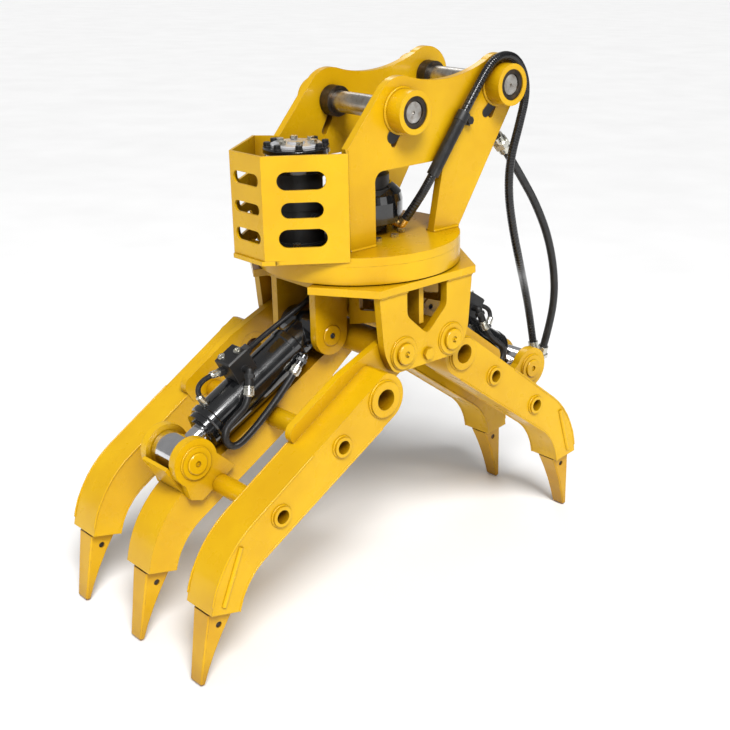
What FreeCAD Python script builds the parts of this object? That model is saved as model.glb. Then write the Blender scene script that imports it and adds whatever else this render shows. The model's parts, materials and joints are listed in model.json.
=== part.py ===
import FreeCAD, Part
import math
import os

# Rotating scrap grapple with five tines, in millimetres, Z up.
# Shapes are drawn about the slew axis, with Z = 0 on top of the base plate.
# Each shape is then moved so that the origin is the middle of the stick pin.
# X points along the dipper stick, Y along the pins. The jaws are called left and right
# as seen from the near side, which is the side of negative Y.

V = FreeCAD.Vector
Y_AXIS = V(0, 1, 0)
Z_AXIS = V(0, 0, 1)

# Fits
RUN_GAP = 0.05          # radial clearance of a pin or a piston

# Upper bracket
STICK_PIN_X = 20.0
STICK_PIN_Z = 295.0
LINK_PIN_X = 333.0
LINK_PIN_Z = 323.0
PIN_D = 50.0
PLATE_T = 20.0
PLATE_OUT_Y = 131.0     # outer face of each side plate
BOSS_OUT_Y = 178.0
BOSS_D = 98.0
BUSH_D = 72.0
BUSH_STICK_OUT = 29.0   # how far a bush stands inside the side plate
PIN_INSET = 6.0         # pin end below the end of its boss
HUMP_A_R = 76.0
HUMP_B_R = 70.0
SHOULDER_X = -140.0     # left edge of the side plates
SHOULDER_Z = 229.0
REAR_FOOT_X = -61.0
FRONT_FOOT_X = 119.0
FRONT_TOE_X = 203.0
WINDOW_TOP_Z = 168.0
WINDOW_RIGHT_X = 154.0
LOCK_BOLT_D = 12.0
LOCK_BOLT_INSET = 22.0  # from the end of a far boss to its cross bolt

# Slew ring, with the gear and the crossed-roller bearing
RING_R = 240.0
BASE_T = 20.0
BAND_H = 62.0           # base plate and skirt together
SKIRT_T = 11.0
GEAR_TEETH = 56
PINION_TEETH = 14
GEAR_TIP = 0.88         # heights of the teeth above and below the pitch circle, in modules
PINION_TIP = 0.84
GEAR_ROOT = 1.12
PINION_ROOM = 14.8      # from the tips of the pinion to the skirt
GEAR_MODULE = (RING_R - SKIRT_T - PINION_ROOM) / (GEAR_TEETH / 2 + PINION_TEETH + PINION_TIP)
GEAR_TOP_Z = -31.0
GEAR_WALL = 16.4        # from the roller path to the roots of the gear
ROLLER_D = 10.0
ROLLER_COUNT = 24
ROLLER_PATH_R = GEAR_MODULE * (GEAR_TEETH / 2 - GEAR_ROOT) - GEAR_WALL
RACE_GAP = 1.0          # from the roller path to each race
RACE_W = 26.0
INNER_RACE_R = ROLLER_PATH_R - RACE_W
SWIVEL_SHAFT_D = 60.0
SWIVEL_GAP = 12.0       # from the swivel to the bore of the inner race
SWIVEL_R = INNER_RACE_R - SWIVEL_GAP
SWIVEL_H = 140.0
RING_BOLT_D = 10.0

# Motor and its guard
MOTOR_X = -GEAR_MODULE * (GEAR_TEETH + PINION_TEETH) / 2
MOTOR_R = 55.0
MOTOR_TOP_Z = 172.0
FLANGE_HALF = 66.0
FLANGE_T = 16.0
COVER_R = 62.0
COVER_TOP_Z = 236.0
PINION_SHAFT_D = 28.0
GUARD_FRONT_X = MOTOR_X - 145.0
GUARD_FRONT_HALF_Y = 56.0
GUARD_CORNER_TURN = 44.7    # where the guard's corner stands on the edge of the base plate
GUARD_SIDE_X = -(RING_R + 1.8) * math.cos(math.radians(GUARD_CORNER_TURN))
GUARD_SIDE_Y = (RING_R + 1.8) * math.sin(math.radians(GUARD_CORNER_TURN))
GUARD_T = 6.0
GUARD_TOP_Z = 230.0
GUARD_SKIRT_Z = -9.0
TONGUE_T = 10.0
TONGUE_FRONT = 5.0      # how far the tongue reaches in front of the guard
TONGUE_ROOT = 20.0      # and into the round plate
CROSS_PLATE_X = MOTOR_X + FLANGE_HALF + 11.0
CROSS_PLATE_T = 12.0
CROSS_PLATE_TOP_Z = 196.0

# Turntable and jaw frame
TURNTABLE_GAP = 3.0
TURNTABLE_T = 18.0
TURNTABLE_EDGE_X = 150.0
TURNTABLE_CORNER_Y = 100.0
FRAME_OUT_Y = RING_R - 6.5
FRAME_T = 20.0
JAW_PIVOT_X = 75.0
JAW_PIVOT_Z = -227.5
FRAME_TOP_X = 145.0
FRAME_CORNER_R = 47.0
COLLAR_D = 74.0
COLLAR_T = 6.0
CAP_STAND = 8.0
WEB_T = 14.0
WEB_BOTTOM_Z = -178.0
TIE_ROD_D = 30.0
TIE_ROD_Z = -246.0
EAR_PIN_X = 157.0
EAR_PIN_Z = -203.0
EAR_OUT_Y = 80.0
EAR_T = 20.0
EAR_R = 46.5

# Jaws, drawn along a tine: s from the first cross hole to the nose, t up from that line
PIVOT_TO_HOLE = 127.0
HOLE_2_S = 145.0
HOLE_3_S = 347.0
LEFT_ANGLE = 31.7       # slope of a left tine below the horizontal, at rest
RIGHT_ANGLE = 37.8
RIGHT_PITCH = 128.4     # from the middle of the grapple to the middle of a right tine
TINE_W = 91.4
TINE_WALL = 10.0
TINE_TOP = 45.0
TINE_HEEL_R = 58.0
TINE_WAIST_S = 430.0
TINE_WAIST = 46.0
NOSE_START_S = 405.0
NOSE_R = 250.0
THROAT_R = 160.0
NOSE_TURN = 45.0
ARM_T = 20.0
ARM_LOBE_R = 50.0
ARM_TOP = 77.0
ARM_END_S = 206.0
PIVOT_TUBE_D = 70.0
PIVOT_TUBE_HALF = FRAME_OUT_Y - FRAME_T - 1.0
LEFT_ARM_Y = PIVOT_TUBE_HALF - 0.5 - ARM_T / 2
LEFT_PITCH = LEFT_ARM_Y - ARM_T / 2 + 1.3 + TINE_W / 2
RIGHT_ARM_Y = RIGHT_PITCH - TINE_W / 2 + 24.0
BIG_HOLE_D = 48.0
BIG_BOSS_D = 82.0
SMALL_HOLE_D = 31.0
SMALL_BOSS_D = 46.0
BOSS_STAND = 8.0
TOOTH_GAP = 7.0         # from the end face of a tine to its tooth
TOOTH_REACH = 173.0     # from that end face to the tip
TOOTH_HALF_W = 27.8
TOOTH_TIP_HALF_W = 19.8
TOOTH_HALF_DEPTH = 31.0
TOOTH_TIP_OUT = 19.5    # the tip leans outward, between these two distances
TOOTH_TIP_IN = 7.0
TOOTH_HOLLOW = 0.6      # how deeply the inner face of a tooth is hollowed
TOOTH_CORNER = 3.5
TANG_W = 34.0
TANG_DEPTH = 36.0
TANG_TAPER = 5.0
TANG_LIFT = 3.0
TANG_LENGTH = 56.0
TOOTH_PIN_D = 14.0
TOOTH_PIN_REACH = 31.0
ROD_EAR_IN_Y = 45.8
ROD_EAR_T = 22.0
ROD_EAR_R = 56.0
LEFT_ROD_S = 363.0
LEFT_ROD_T = 92.0
RIGHT_ROD_S = 398.0
RIGHT_ROD_T = 101.0

# Hydraulic cylinders, drawn along +X from the base pin
BARREL_D = 84.0
BORE_D = 74.0
BASE_EYE_D = 88.0
BASE_EYE_HALF = 59.0
BORE_START = 58.0
GLAND_D = 90.0
GLAND_FLANGE_T = 14.0
GLAND_RIM = 6.0
GLAND_DEPTH = 25.0
ROD_D = 45.0
ROD_EYE_D = 86.0
ROD_EYE_HALF = 43.0
ROD_EYE_BORE = 64.0     # wide, because the eye floats round its pin
ROD_SHOWN = 26.0        # bare rod between the gland and the eye of the left cylinder
PISTON_BACK_GAP = 8.0   # oil behind the piston of the left cylinder
PISTON_T = 40.0
STOP_TUBE_L = 90.0
BLOCK_START = 178.0
BLOCK_L = 58.0
BLOCK_H = 58.0
BLOCK_W = 56.0

# Supply hoses
HOSE_D = 21.0
HOSE_A_ROUTE = [
    (64, -95, 36), (80, -124, 84), (104, -142, 136), (150, -147, 203), (246, -147, 325),
    (303, -147, 388), (367, -149, 387), (403, -151, 342), (411, -151, 288), (392, -148, 219),
    (370, -142, 141), (375, -132, 60), (411, -115, -38), (478, -85, -161), (590, 2, -243),
    (640, 30, -317), (672, 44, -387), (677, 36, -450),
]
HOSE_B_ROUTE = [
    (402, -95, 150), (428, -95, 119), (481, -83, 65), (542, -76, -8), (605, -68, -108),
    (648, -57, -214), (669, -44, -307), (675, -20, -402), (674, -6, -452),
]
SWIVEL_HOSE_ROUTE = [
    (52, -20, 168), (105, -38, 228), (200, -66, 252), (270, -84, 245), (333, -95, 231), (368, -95, 190),
]
CLAMP_SHARE = 0.48      # place of the clip along the fourth run of the first hose
THICK_HOSE_D = 17.0
THIN_HOSE_D = 12.0
THICK_HOSE_ROUTE = [
    (230, -56, 42), (256, -66, 17), (296, -67, 13), (336, -67, 10), (353, -67, -20), (336, -66, -50),
    (280, -66, -48), (212, -66, -36), (152, -67, -20), (105, -63, -8),
]
THIN_HOSE_ROUTE = [(248, 10, 78), (276, 12, 90), (308, 9, 92), (322, 4, 74), (319, 0, 52)]
CONNECTOR_D = 28.0
CONNECTOR_L = 34.0
NIPPLE_D = 20.0
NIPPLE_L = 16.0


def rad(degrees):
    return math.radians(degrees)


def cylinder(radius, start, direction, length):
    return Part.makeCylinder(radius, length, V(*start), V(*direction))


def across(radius, x, z, y0, y1):
    """A round bar along Y between two heights of Y."""
    return Part.makeCylinder(radius, y1 - y0, V(x, y0, z), Y_AXIS)


def upright(radius, x, y, z0, z1):
    return Part.makeCylinder(radius, z1 - z0, V(x, y, z0), Z_AXIS)


def ring_across(outer, inner, x, z, y0, y1):
    return across(outer, x, z, y0, y1).cut(across(inner, x, z, y0 - 1, y1 + 1))


def block(x0, x1, y0, y1, z0, z1):
    return Part.makeBox(x1 - x0, y1 - y0, z1 - z0, V(x0, y0, z0))


def fuse(shapes):
    result = shapes[0]
    if len(shapes) > 1:
        result = result.multiFuse(shapes[1:])
    return result.removeSplitter()


def wire_from(steps, lift):
    """A closed wire. A step is ("line", point) or ("arc", middle, end); lift makes a point 3-D."""
    here = lift(steps[0][1])
    edges = []
    for step in steps[1:]:
        there = lift(step[-1])
        if step[0] == "line":
            edges.append(Part.LineSegment(here, there).toShape())
        else:
            edges.append(Part.Arc(here, lift(step[1]), there).toShape())
        here = there
    return Part.Wire(edges)


def slab_y(steps, y0, y1):
    """A profile in X and Z, made solid between two heights of Y."""
    face = Part.Face(wire_from(steps, lambda p: V(p[0], y0, p[1])))
    return face.extrude(V(0, y1 - y0, 0))


def slab_z(points, z0, z1):
    corners = [V(p[0], p[1], z0) for p in points]
    face = Part.Face(Part.makePolygon(corners + corners[:1]))
    return face.extrude(V(0, 0, z1 - z0))


def on_circle(centre, radius, degrees):
    return (centre[0] + radius * math.cos(rad(degrees)), centre[1] + radius * math.sin(rad(degrees)))


def tangent_angle(centre, radius, point, side):
    """Angle of the point on a circle where a line from an outside point touches it."""
    dx, dz = point[0] - centre[0], point[1] - centre[1]
    spread = math.degrees(math.acos(radius / math.hypot(dx, dz)))
    return math.degrees(math.atan2(dz, dx)) + side * spread


def slot_solid(width, length, depth):
    """A flat bar with round ends, long in X, thick in Y, centred."""
    half = (length - width) / 2
    bar = block(-half, half, -depth / 2, depth / 2, -width / 2, width / 2)
    ends = [across(width / 2, x, 0, -depth / 2, depth / 2) for x in (-half, half)]
    return fuse([bar] + ends)


def hexagon(width, start, direction, length):
    """A six-sided bar, such as a bolt head, from a start point along a direction."""
    corner = width / math.sqrt(3)
    points = [V(*(on_circle((0, 0), corner, 60 * i) + (0,))) for i in range(7)]
    bar = Part.Face(Part.makePolygon(points)).extrude(V(0, 0, length))
    bar.Placement = FreeCAD.Placement(V(*start), FreeCAD.Rotation(Z_AXIS, V(*direction)))
    return bar


# Upper bracket

def side_plate(side):
    """One side plate: two humps round the pins, a saddle between them and an open window."""
    a, b = (STICK_PIN_X, STICK_PIN_Z), (LINK_PIN_X, LINK_PIN_Z)
    shoulder, toe = (SHOULDER_X, SHOULDER_Z), (FRONT_TOE_X, 0)
    a0 = tangent_angle(a, HUMP_A_R, shoulder, -1) % 360
    b1 = tangent_angle(b, HUMP_B_R, toe, 1)
    a1, b0 = 68.0, 124.0
    saddle = ((STICK_PIN_X + LINK_PIN_X) / 2 - 26, STICK_PIN_Z + 56)
    steps = [
        ("start", (SHOULDER_X, 0)), ("line", shoulder), ("line", on_circle(a, HUMP_A_R, a0)),
        ("arc", on_circle(a, HUMP_A_R, (a0 + a1) / 2), on_circle(a, HUMP_A_R, a1)),
        ("arc", saddle, on_circle(b, HUMP_B_R, b0)),
        ("arc", on_circle(b, HUMP_B_R, (b0 + b1) / 2), on_circle(b, HUMP_B_R, b1)),
        ("line", toe), ("line", (FRONT_FOOT_X, 0)), ("line", (WINDOW_RIGHT_X, WINDOW_TOP_Z)),
        ("line", (REAR_FOOT_X, WINDOW_TOP_Z)), ("line", (REAR_FOOT_X, 0)), ("line", (SHOULDER_X, 0)),
    ]
    y0, y1 = sorted((side * (PLATE_OUT_Y - PLATE_T), side * PLATE_OUT_Y))
    plate = slab_y(steps, y0, y1)
    plate = round_upright_edges(plate, [(REAR_FOOT_X, WINDOW_TOP_Z, 24), (WINDOW_RIGHT_X, WINDOW_TOP_Z, 18)])
    for x, z in (a, b):
        plate = plate.cut(across(BUSH_D / 2 + RUN_GAP, x, z, y0 - 1, y1 + 1))
        keyhole = slot_solid(16, 52, PLATE_T + 4)
        keyhole.rotate(V(0, 0, 0), Y_AXIS, -60)
        keyhole.translate(V(x - 15, (y0 + y1) / 2, z - 55))
        plate = plate.cut(keyhole)
    return plate


def round_upright_edges(solid, corners):
    """Rounds the edges along Y that stand at the given X and Z, each with its radius."""
    for x, z, radius in corners:
        edges = [e for e in solid.Edges if all(abs(v.X - x) < 0.01 and abs(v.Z - z) < 0.01
                                               for v in e.Vertexes)]
        solid = solid.makeFillet(radius, edges)
    return solid


def pin_centres():
    return ((STICK_PIN_X, STICK_PIN_Z), (LINK_PIN_X, LINK_PIN_Z))


def lock_bolt_holes():
    """Room for the cross bolt of each pin, which goes through its far boss."""
    y = BOSS_OUT_Y - LOCK_BOLT_INSET
    return [upright(LOCK_BOLT_D / 2 + 0.2, x, y, z - BOSS_D, z + BOSS_D) for x, z in pin_centres()]


def pin_bosses():
    bosses = []
    for x, z in pin_centres():
        for side in (-1, 1):
            y0, y1 = sorted((side * PLATE_OUT_Y, side * BOSS_OUT_Y))
            bosses.append(ring_across(BOSS_D / 2, BUSH_D / 2 + RUN_GAP, x, z, y0, y1))
    return Part.makeCompound(bosses).cut(Part.makeCompound(lock_bolt_holes()))


def pin_bushes():
    inner_y = PLATE_OUT_Y - PLATE_T - BUSH_STICK_OUT
    outer_y = BOSS_OUT_Y - PIN_INSET / 2
    bushes = []
    for x, z in pin_centres():
        for side in (-1, 1):
            y0, y1 = sorted((side * inner_y, side * outer_y))
            bushes.append(ring_across(BUSH_D / 2, PIN_D / 2 + RUN_GAP, x, z, y0, y1))
    return Part.makeCompound(bushes).cut(Part.makeCompound(lock_bolt_holes()))


def bracket_pin(x, z):
    """A pin with chamfered ends, a centre hole in each and the hole of its cross bolt."""
    end = BOSS_OUT_Y - PIN_INSET
    pin = across(PIN_D / 2, x, z, -end, end)
    for side in (-1, 1):
        pin = pin.cut(across(4, x, z, side * end - 5, side * end + 5))
    rims = [e for e in pin.Edges if e.Curve.TypeId == "Part::GeomCircle"
            and abs(e.Curve.Radius - PIN_D / 2) < 0.01]
    return pin.makeChamfer(1.5, rims).cut(Part.makeCompound(lock_bolt_holes()))


def lock_bolts():
    """A cross bolt with its nut in each far boss keeps the pin from turning or leaving."""
    y = BOSS_OUT_Y - LOCK_BOLT_INSET
    bolts = []
    for x, z in pin_centres():
        top, bottom = z + BOSS_D / 2, z - BOSS_D / 2
        shank = upright(LOCK_BOLT_D / 2, x, y, bottom - 14, top + 1)
        bolts.append(fuse([shank, hexagon(19, (x, y, top), (0, 0, 1), 8),
                           hexagon(19, (x, y, bottom - 10), (0, 0, 1), 10)]))
    return bolts


def cross_plate():
    """Ties the side plates together between the motor and the swivel."""
    inner = PLATE_OUT_Y - PLATE_T
    x = CROSS_PLATE_X
    plate = block(x, x + CROSS_PLATE_T, -inner, inner, 0, CROSS_PLATE_TOP_Z)
    drain = block(x - 1, x + CROSS_PLATE_T + 1, -42, 42, -1, 24)
    hand_hole = cylinder(38, (x - 1, 0, 110), (1, 0, 0), CROSS_PLATE_T + 2)
    return plate.cut(drain).cut(hand_hole)


# Guard and motor

def guard_path(inset):
    """Half of the guard's plan, from the side plate round to the front, inset from its outside."""
    return [(SHOULDER_X, -PLATE_OUT_Y), (GUARD_SIDE_X + inset * 0.1, -GUARD_SIDE_Y + inset * 1.2),
            (GUARD_FRONT_X + inset, -GUARD_FRONT_HALF_Y + inset * 0.5)]


def guard_outline(inset):
    """The whole plan of the guard, closed behind by a line between the side plates."""
    half = guard_path(inset)
    half[0] = (SHOULDER_X, -PLATE_OUT_Y + inset * 1.3)
    return half + [(x, -y) for x, y in reversed(half)]


def guard_slots():
    """Three rows of round-ended slots in the front and in both slanted sides."""
    rows = [(175, 40, 106), (111, 35, 92), (49, 41, 106)]
    run_x, run_y = GUARD_SIDE_X - GUARD_FRONT_X, GUARD_SIDE_Y - GUARD_FRONT_HALF_Y
    slope = math.degrees(math.atan2(run_y, run_x))
    mid = (GUARD_FRONT_X + run_x * 0.46, GUARD_FRONT_HALF_Y + run_y * 0.46)
    cuts = []
    for z, height, length in rows:
        front = slot_solid(height * 0.7, 90, 40)
        front.rotate(V(0, 0, 0), Z_AXIS, 90)
        front.translate(V(GUARD_FRONT_X, 0, z))
        cuts.append(front)
        for side in (-1, 1):
            cut = slot_solid(height, length, 40)
            cut.rotate(V(0, 0, 0), Z_AXIS, side * slope)
            cut.translate(V(mid[0], side * mid[1], z))
            cuts.append(cut)
    return cuts


def motor_guard():
    """A bent shell in front of the side plates, cut out over the base plate and its tongue."""
    outer = slab_z(guard_outline(0), GUARD_SKIRT_Z, GUARD_TOP_Z)
    inner = slab_z(guard_outline(GUARD_T), GUARD_SKIRT_Z - 1, GUARD_TOP_Z + 1)
    shell = outer.cut(inner)
    seat = upright(RING_R + RUN_GAP, 0, 0, -BASE_T, 0)
    tongue = slab_z(tongue_outline(), -BASE_T, 0)
    behind = block(SHOULDER_X, 0, -300, 300, GUARD_SKIRT_Z - 1, GUARD_TOP_Z + 1)
    return shell.cut(fuse([seat, tongue])).cut(behind).cut(Part.makeCompound(guard_slots()))


def tongue_outline():
    """The floor under the motor reaches a little in front of the guard."""
    front = GUARD_FRONT_X - TONGUE_FRONT
    root = -RING_R + TONGUE_ROOT
    half = GUARD_FRONT_HALF_Y - 3
    slope = (GUARD_SIDE_Y - GUARD_FRONT_HALF_Y) / (GUARD_SIDE_X - GUARD_FRONT_X)
    wide = half + slope * (root - GUARD_FRONT_X)
    return [(front, -half), (front, half), (root, wide), (root, -wide)]


def motor_housing():
    """Flange, body, a ribbed collar and a port on each side, bored for the pinion's shaft."""
    x = MOTOR_X
    flange = block(x - FLANGE_HALF, x + FLANGE_HALF, -FLANGE_HALF, FLANGE_HALF, 0, FLANGE_T)
    flange = round_corners_z(flange, 20)
    body = upright(MOTOR_R, x, 0, FLANGE_T, MOTOR_TOP_Z)
    collar = upright(MOTOR_R + 5, x, 0, 92, 112)
    ports = [cylinder(13, (x, side * (MOTOR_R - 15), 70), (0, side, 0), 26) for side in (-1, 1)]
    housing = fuse([flange, body, collar] + ports)
    housing = housing.cut(upright(PINION_SHAFT_D / 2 + RUN_GAP, x, 0, -1, 60))
    return housing.cut(Part.makeCompound([bolt_hole(px, py, FLANGE_T) for px, py in motor_bolt_places()]))


def round_corners_z(solid, radius):
    edges = [e for e in solid.Edges if len(e.Vertexes) == 2
             and abs(e.Vertexes[0].X - e.Vertexes[1].X) < 0.01
             and abs(e.Vertexes[0].Y - e.Vertexes[1].Y) < 0.01]
    return solid.makeFillet(radius, edges)


def motor_cover():
    """A lid with six scallops in its rim and a raised middle."""
    lid = upright(COVER_R, MOTOR_X, 0, MOTOR_TOP_Z, COVER_TOP_Z - 14)
    neck = upright(COVER_R - 12, MOTOR_X, 0, COVER_TOP_Z - 14, COVER_TOP_Z)
    for degrees in range(30, 360, 60):
        x, y = on_circle((MOTOR_X, 0), COVER_R, degrees)
        lid = lid.cut(upright(9, x, y, MOTOR_TOP_Z + 12, COVER_TOP_Z))
    return fuse([lid, neck])


def motor_bolt_places():
    reach = FLANGE_HALF - 14
    return [(MOTOR_X + sx * reach, sy * reach) for sx in (-1, 1) for sy in (-1, 1)]


def race_bolt_places():
    radius = (INNER_RACE_R + ROLLER_PATH_R) / 2 - 4
    return [on_circle((0, 0), radius, 15 + 30 * i) for i in range(12)]


def bolt_hole(x, y, top):
    return upright(RING_BOLT_D / 2 + 0.3, x, y, -70, top + 1)


def hex_bolt(x, y, seat_z, depth):
    head = hexagon(17, (x, y, seat_z), (0, 0, 1), 7)
    shank = upright(RING_BOLT_D / 2, x, y, seat_z - depth, seat_z)
    return fuse([head, shank])


def bracket_bolts():
    """Lock bolts of the pins, four bolts of the motor, six of its cover and twelve of the race."""
    bolts = lock_bolts()
    bolts += [hex_bolt(x, y, FLANGE_T, FLANGE_T + 14) for x, y in motor_bolt_places()]
    bolts += [hex_bolt(x, y, 0, 44) for x, y in race_bolt_places()]
    for degrees in range(0, 360, 60):
        x, y = on_circle((MOTOR_X, 0), COVER_R - 22, degrees)
        bolts.append(hexagon(15, (x, y, COVER_TOP_Z), (0, 0, 1), 7))
    return Part.makeCompound(bolts)


# Slew ring

def base_plate():
    disc = upright(RING_R, 0, 0, -BASE_T, 0)
    tongue = slab_z(tongue_outline(), -TONGUE_T, 0)
    plate = fuse([disc, tongue])
    plate = plate.cut(upright(SWIVEL_SHAFT_D / 2 + 6, 0, 0, -BASE_T - 1, 1))
    plate = plate.cut(upright(PINION_SHAFT_D / 2 + 3, MOTOR_X, 0, -BASE_T - 1, 1))
    holes = [bolt_hole(x, y, 1) for x, y in race_bolt_places() + motor_bolt_places()]
    return plate.cut(Part.makeCompound(holes))


def slew_skirt():
    skirt = upright(RING_R, 0, 0, -BAND_H, -BASE_T)
    return skirt.cut(upright(RING_R - SKIRT_T, 0, 0, -BAND_H - 1, -BASE_T + 1))


def roller_z():
    return -(BASE_T + BAND_H + TURNTABLE_GAP) / 2


def groove():
    """The square race for crossed rollers, standing on its corner, as a full ring."""
    half = (ROLLER_D / 2 + RUN_GAP) * math.sqrt(2)
    z = roller_z()
    corners = [V(ROLLER_PATH_R + dx, 0, z + dz) for dx, dz in ((half, 0), (0, half), (-half, 0), (0, -half))]
    return Part.Face(Part.makePolygon(corners + corners[:1])).revolve(V(0, 0, 0), Z_AXIS, 360)


def bearing_inner_race():
    race = upright(ROLLER_PATH_R - RACE_GAP, 0, 0, 2 - BAND_H, -BASE_T)
    race = race.cut(upright(INNER_RACE_R, 0, 0, -BAND_H, 0)).cut(groove())
    holes = [upright(RING_BOLT_D / 2 + 0.3, x, y, -46, 0) for x, y in race_bolt_places()]
    return race.cut(Part.makeCompound(holes))


def gear_outline(teeth, fullness, tip_height):
    """Corner points of a gear with straight flanks. Fullness is the share of its half pitch filled."""
    pitch_r = GEAR_MODULE * teeth / 2
    top_r = pitch_r + tip_height * GEAR_MODULE
    root_r = pitch_r - GEAR_ROOT * GEAR_MODULE
    quarter = 360.0 / teeth / 4 * fullness
    points = []
    for i in range(teeth):
        middle = 360.0 * i / teeth
        for radius, turn in ((root_r, -1.55), (top_r, -0.48), (top_r, 0.48), (root_r, 1.55)):
            points.append(on_circle((0, 0), radius, middle + turn * quarter))
    return points


def bearing_gear_ring():
    gear = slab_z(gear_outline(GEAR_TEETH, 0.86, GEAR_TIP), -BAND_H - TURNTABLE_GAP, GEAR_TOP_Z)
    gear = gear.cut(upright(ROLLER_PATH_R + RACE_GAP, 0, 0, -90, 0))
    return gear.cut(groove())


def bearing_rollers():
    rollers = []
    length = ROLLER_D - 0.2
    for i in range(ROLLER_COUNT):
        tilt = 45 if i % 2 else 135
        roller = Part.makeCylinder(ROLLER_D / 2, length, V(0, 0, -length / 2), Z_AXIS)
        roller.rotate(V(0, 0, 0), Y_AXIS, tilt)
        roller.translate(V(ROLLER_PATH_R, 0, roller_z()))
        roller.rotate(V(0, 0, 0), Z_AXIS, 360.0 * i / ROLLER_COUNT)
        rollers.append(roller)
    return Part.makeCompound(rollers)


def drive_pinion():
    """The motor's pinion, turned so that a gap faces the ring gear's tooth at its side."""
    pinion = slab_z(gear_outline(PINION_TEETH, 0.80, PINION_TIP), GEAR_TOP_Z - 27, GEAR_TOP_Z - 1)
    pinion.rotate(V(0, 0, 0), Z_AXIS, 180.0 / PINION_TEETH)
    shaft = upright(PINION_SHAFT_D / 2, 0, 0, GEAR_TOP_Z - 1, 56)
    pinion = fuse([pinion, shaft])
    pinion.translate(V(MOTOR_X, 0, 0))
    return pinion


def swivel_body():
    """Fixed half of the oil swivel, with a flange, a ribbed barrel and a closed top."""
    flange = upright(SWIVEL_R - 18, 0, 0, 10, 26)
    near, far = SWIVEL_R - 36, SWIVEL_R - 2
    feet = [block(-far, -near, -14, 14, 0, 26), block(near, far, -14, 14, 0, 26)]
    barrel = upright(SWIVEL_R - 6, 0, 0, 26, SWIVEL_H)
    rings = [upright(SWIVEL_R, 0, 0, z, z + 12) for z in (34, 66, 98)]
    top = Part.makeCone(SWIVEL_R - 10, SWIVEL_R - 28, 14, V(0, 0, SWIVEL_H), Z_AXIS)
    body = fuse([flange, barrel, top] + feet + rings)
    return body.cut(upright(SWIVEL_SHAFT_D / 2 + RUN_GAP, 0, 0, 0, SWIVEL_H - 12))


def swivel_spool():
    """Turning half of the oil swivel, bolted under the turntable plate."""
    bottom = -BAND_H - TURNTABLE_GAP - TURNTABLE_T
    shaft = upright(SWIVEL_SHAFT_D / 2, 0, 0, bottom - 10, SWIVEL_H - 20)
    flange = upright(56, 0, 0, bottom - 12, bottom)
    ports = [cylinder(11, (0, side * 30, bottom - 24), (0, side, 0), 26) for side in (-1, 1)]
    hub = upright(34, 0, 0, bottom - 38, bottom - 11)
    return fuse([shaft, flange, hub] + ports)


# Turntable and jaw frame

def turntable_plate():
    top = -BAND_H - TURNTABLE_GAP
    half = RING_R
    corners = [(-half, -TURNTABLE_CORNER_Y), (-TURNTABLE_EDGE_X, -half), (TURNTABLE_EDGE_X, -half),
               (half, -TURNTABLE_CORNER_Y)]
    plate = slab_z(corners + [(-x, -y) for x, y in corners], top - TURNTABLE_T, top)
    return plate.cut(upright(SWIVEL_SHAFT_D / 2 + 1, 0, 0, top - TURNTABLE_T - 1, top + 1))


def frame_plate(side):
    """One jaw frame plate: a tapered plate with a five-sided window and a collar round each pivot."""
    top = -BAND_H - TURNTABLE_GAP - TURNTABLE_T
    left, right = (-JAW_PIVOT_X, JAW_PIVOT_Z), (JAW_PIVOT_X, JAW_PIVOT_Z)
    angle = tangent_angle(left, FRAME_CORNER_R, (-FRAME_TOP_X, top), -1)
    steps = [
        ("start", (-FRAME_TOP_X, top)), ("line", on_circle(left, FRAME_CORNER_R, angle)),
        ("arc", on_circle(left, FRAME_CORNER_R, (angle - 450) / 2), on_circle(left, FRAME_CORNER_R, -90)),
        ("line", on_circle(right, FRAME_CORNER_R, -90)),
        ("arc", on_circle(right, FRAME_CORNER_R, (180 - angle + 270) / 2 + 180),
         on_circle(right, FRAME_CORNER_R, 180 - angle)),
        ("line", (FRAME_TOP_X, top)), ("line", (-FRAME_TOP_X, top)),
    ]
    y0, y1 = sorted((side * (FRAME_OUT_Y - FRAME_T), side * FRAME_OUT_Y))
    plate = slab_y(steps, y0, y1)
    window = slab_y([("start", (-61, top + 1)), ("line", (-61, -143)), ("line", (-13, -191)),
                     ("line", (13, -191)), ("line", (61, -143)), ("line", (61, top + 1)),
                     ("line", (-61, top + 1))], y0 - 1, y1 + 1)
    plate = plate.cut(window)
    outer = side * (FRAME_OUT_Y + COLLAR_T)
    for x in (-JAW_PIVOT_X, JAW_PIVOT_X):
        collar = across(COLLAR_D / 2, x, JAW_PIVOT_Z, *sorted((side * (FRAME_OUT_Y - 1), outer)))
        plate = plate.fuse(collar)
    for x in (-JAW_PIVOT_X, JAW_PIVOT_X):
        plate = plate.cut(across(PIN_D / 2 + RUN_GAP, x, JAW_PIVOT_Z, -300, 300))
    plate = plate.cut(across(TIE_ROD_D / 2 - 5 + RUN_GAP, 0, TIE_ROD_Z, -300, 300))
    return plate.removeSplitter()


def pivot_pins():
    """Both jaw pivots. Each end stands proud of its collar and has a dished middle."""
    end = FRAME_OUT_Y + COLLAR_T + CAP_STAND
    pins = []
    for x in (-JAW_PIVOT_X, JAW_PIVOT_X):
        pins.append(turned_pin(x, JAW_PIVOT_Z, end))
    return Part.makeCompound(pins)


def turned_pin(x, z, end):
    pin = across(PIN_D / 2, x, z, -end, end)
    circles = [e for e in pin.Edges if e.Curve.TypeId == "Part::GeomCircle"]
    pin = pin.makeChamfer(2, circles)
    for side in (-1, 1):
        pin = pin.cut(across(7, x, z, *sorted((side * (end - 4), side * (end + 1)))))
    return pin


def cylinder_pins():
    end = EAR_OUT_Y + 3
    return Part.makeCompound([turned_pin(x, EAR_PIN_Z, end) for x in (-EAR_PIN_X, EAR_PIN_X)])


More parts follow.
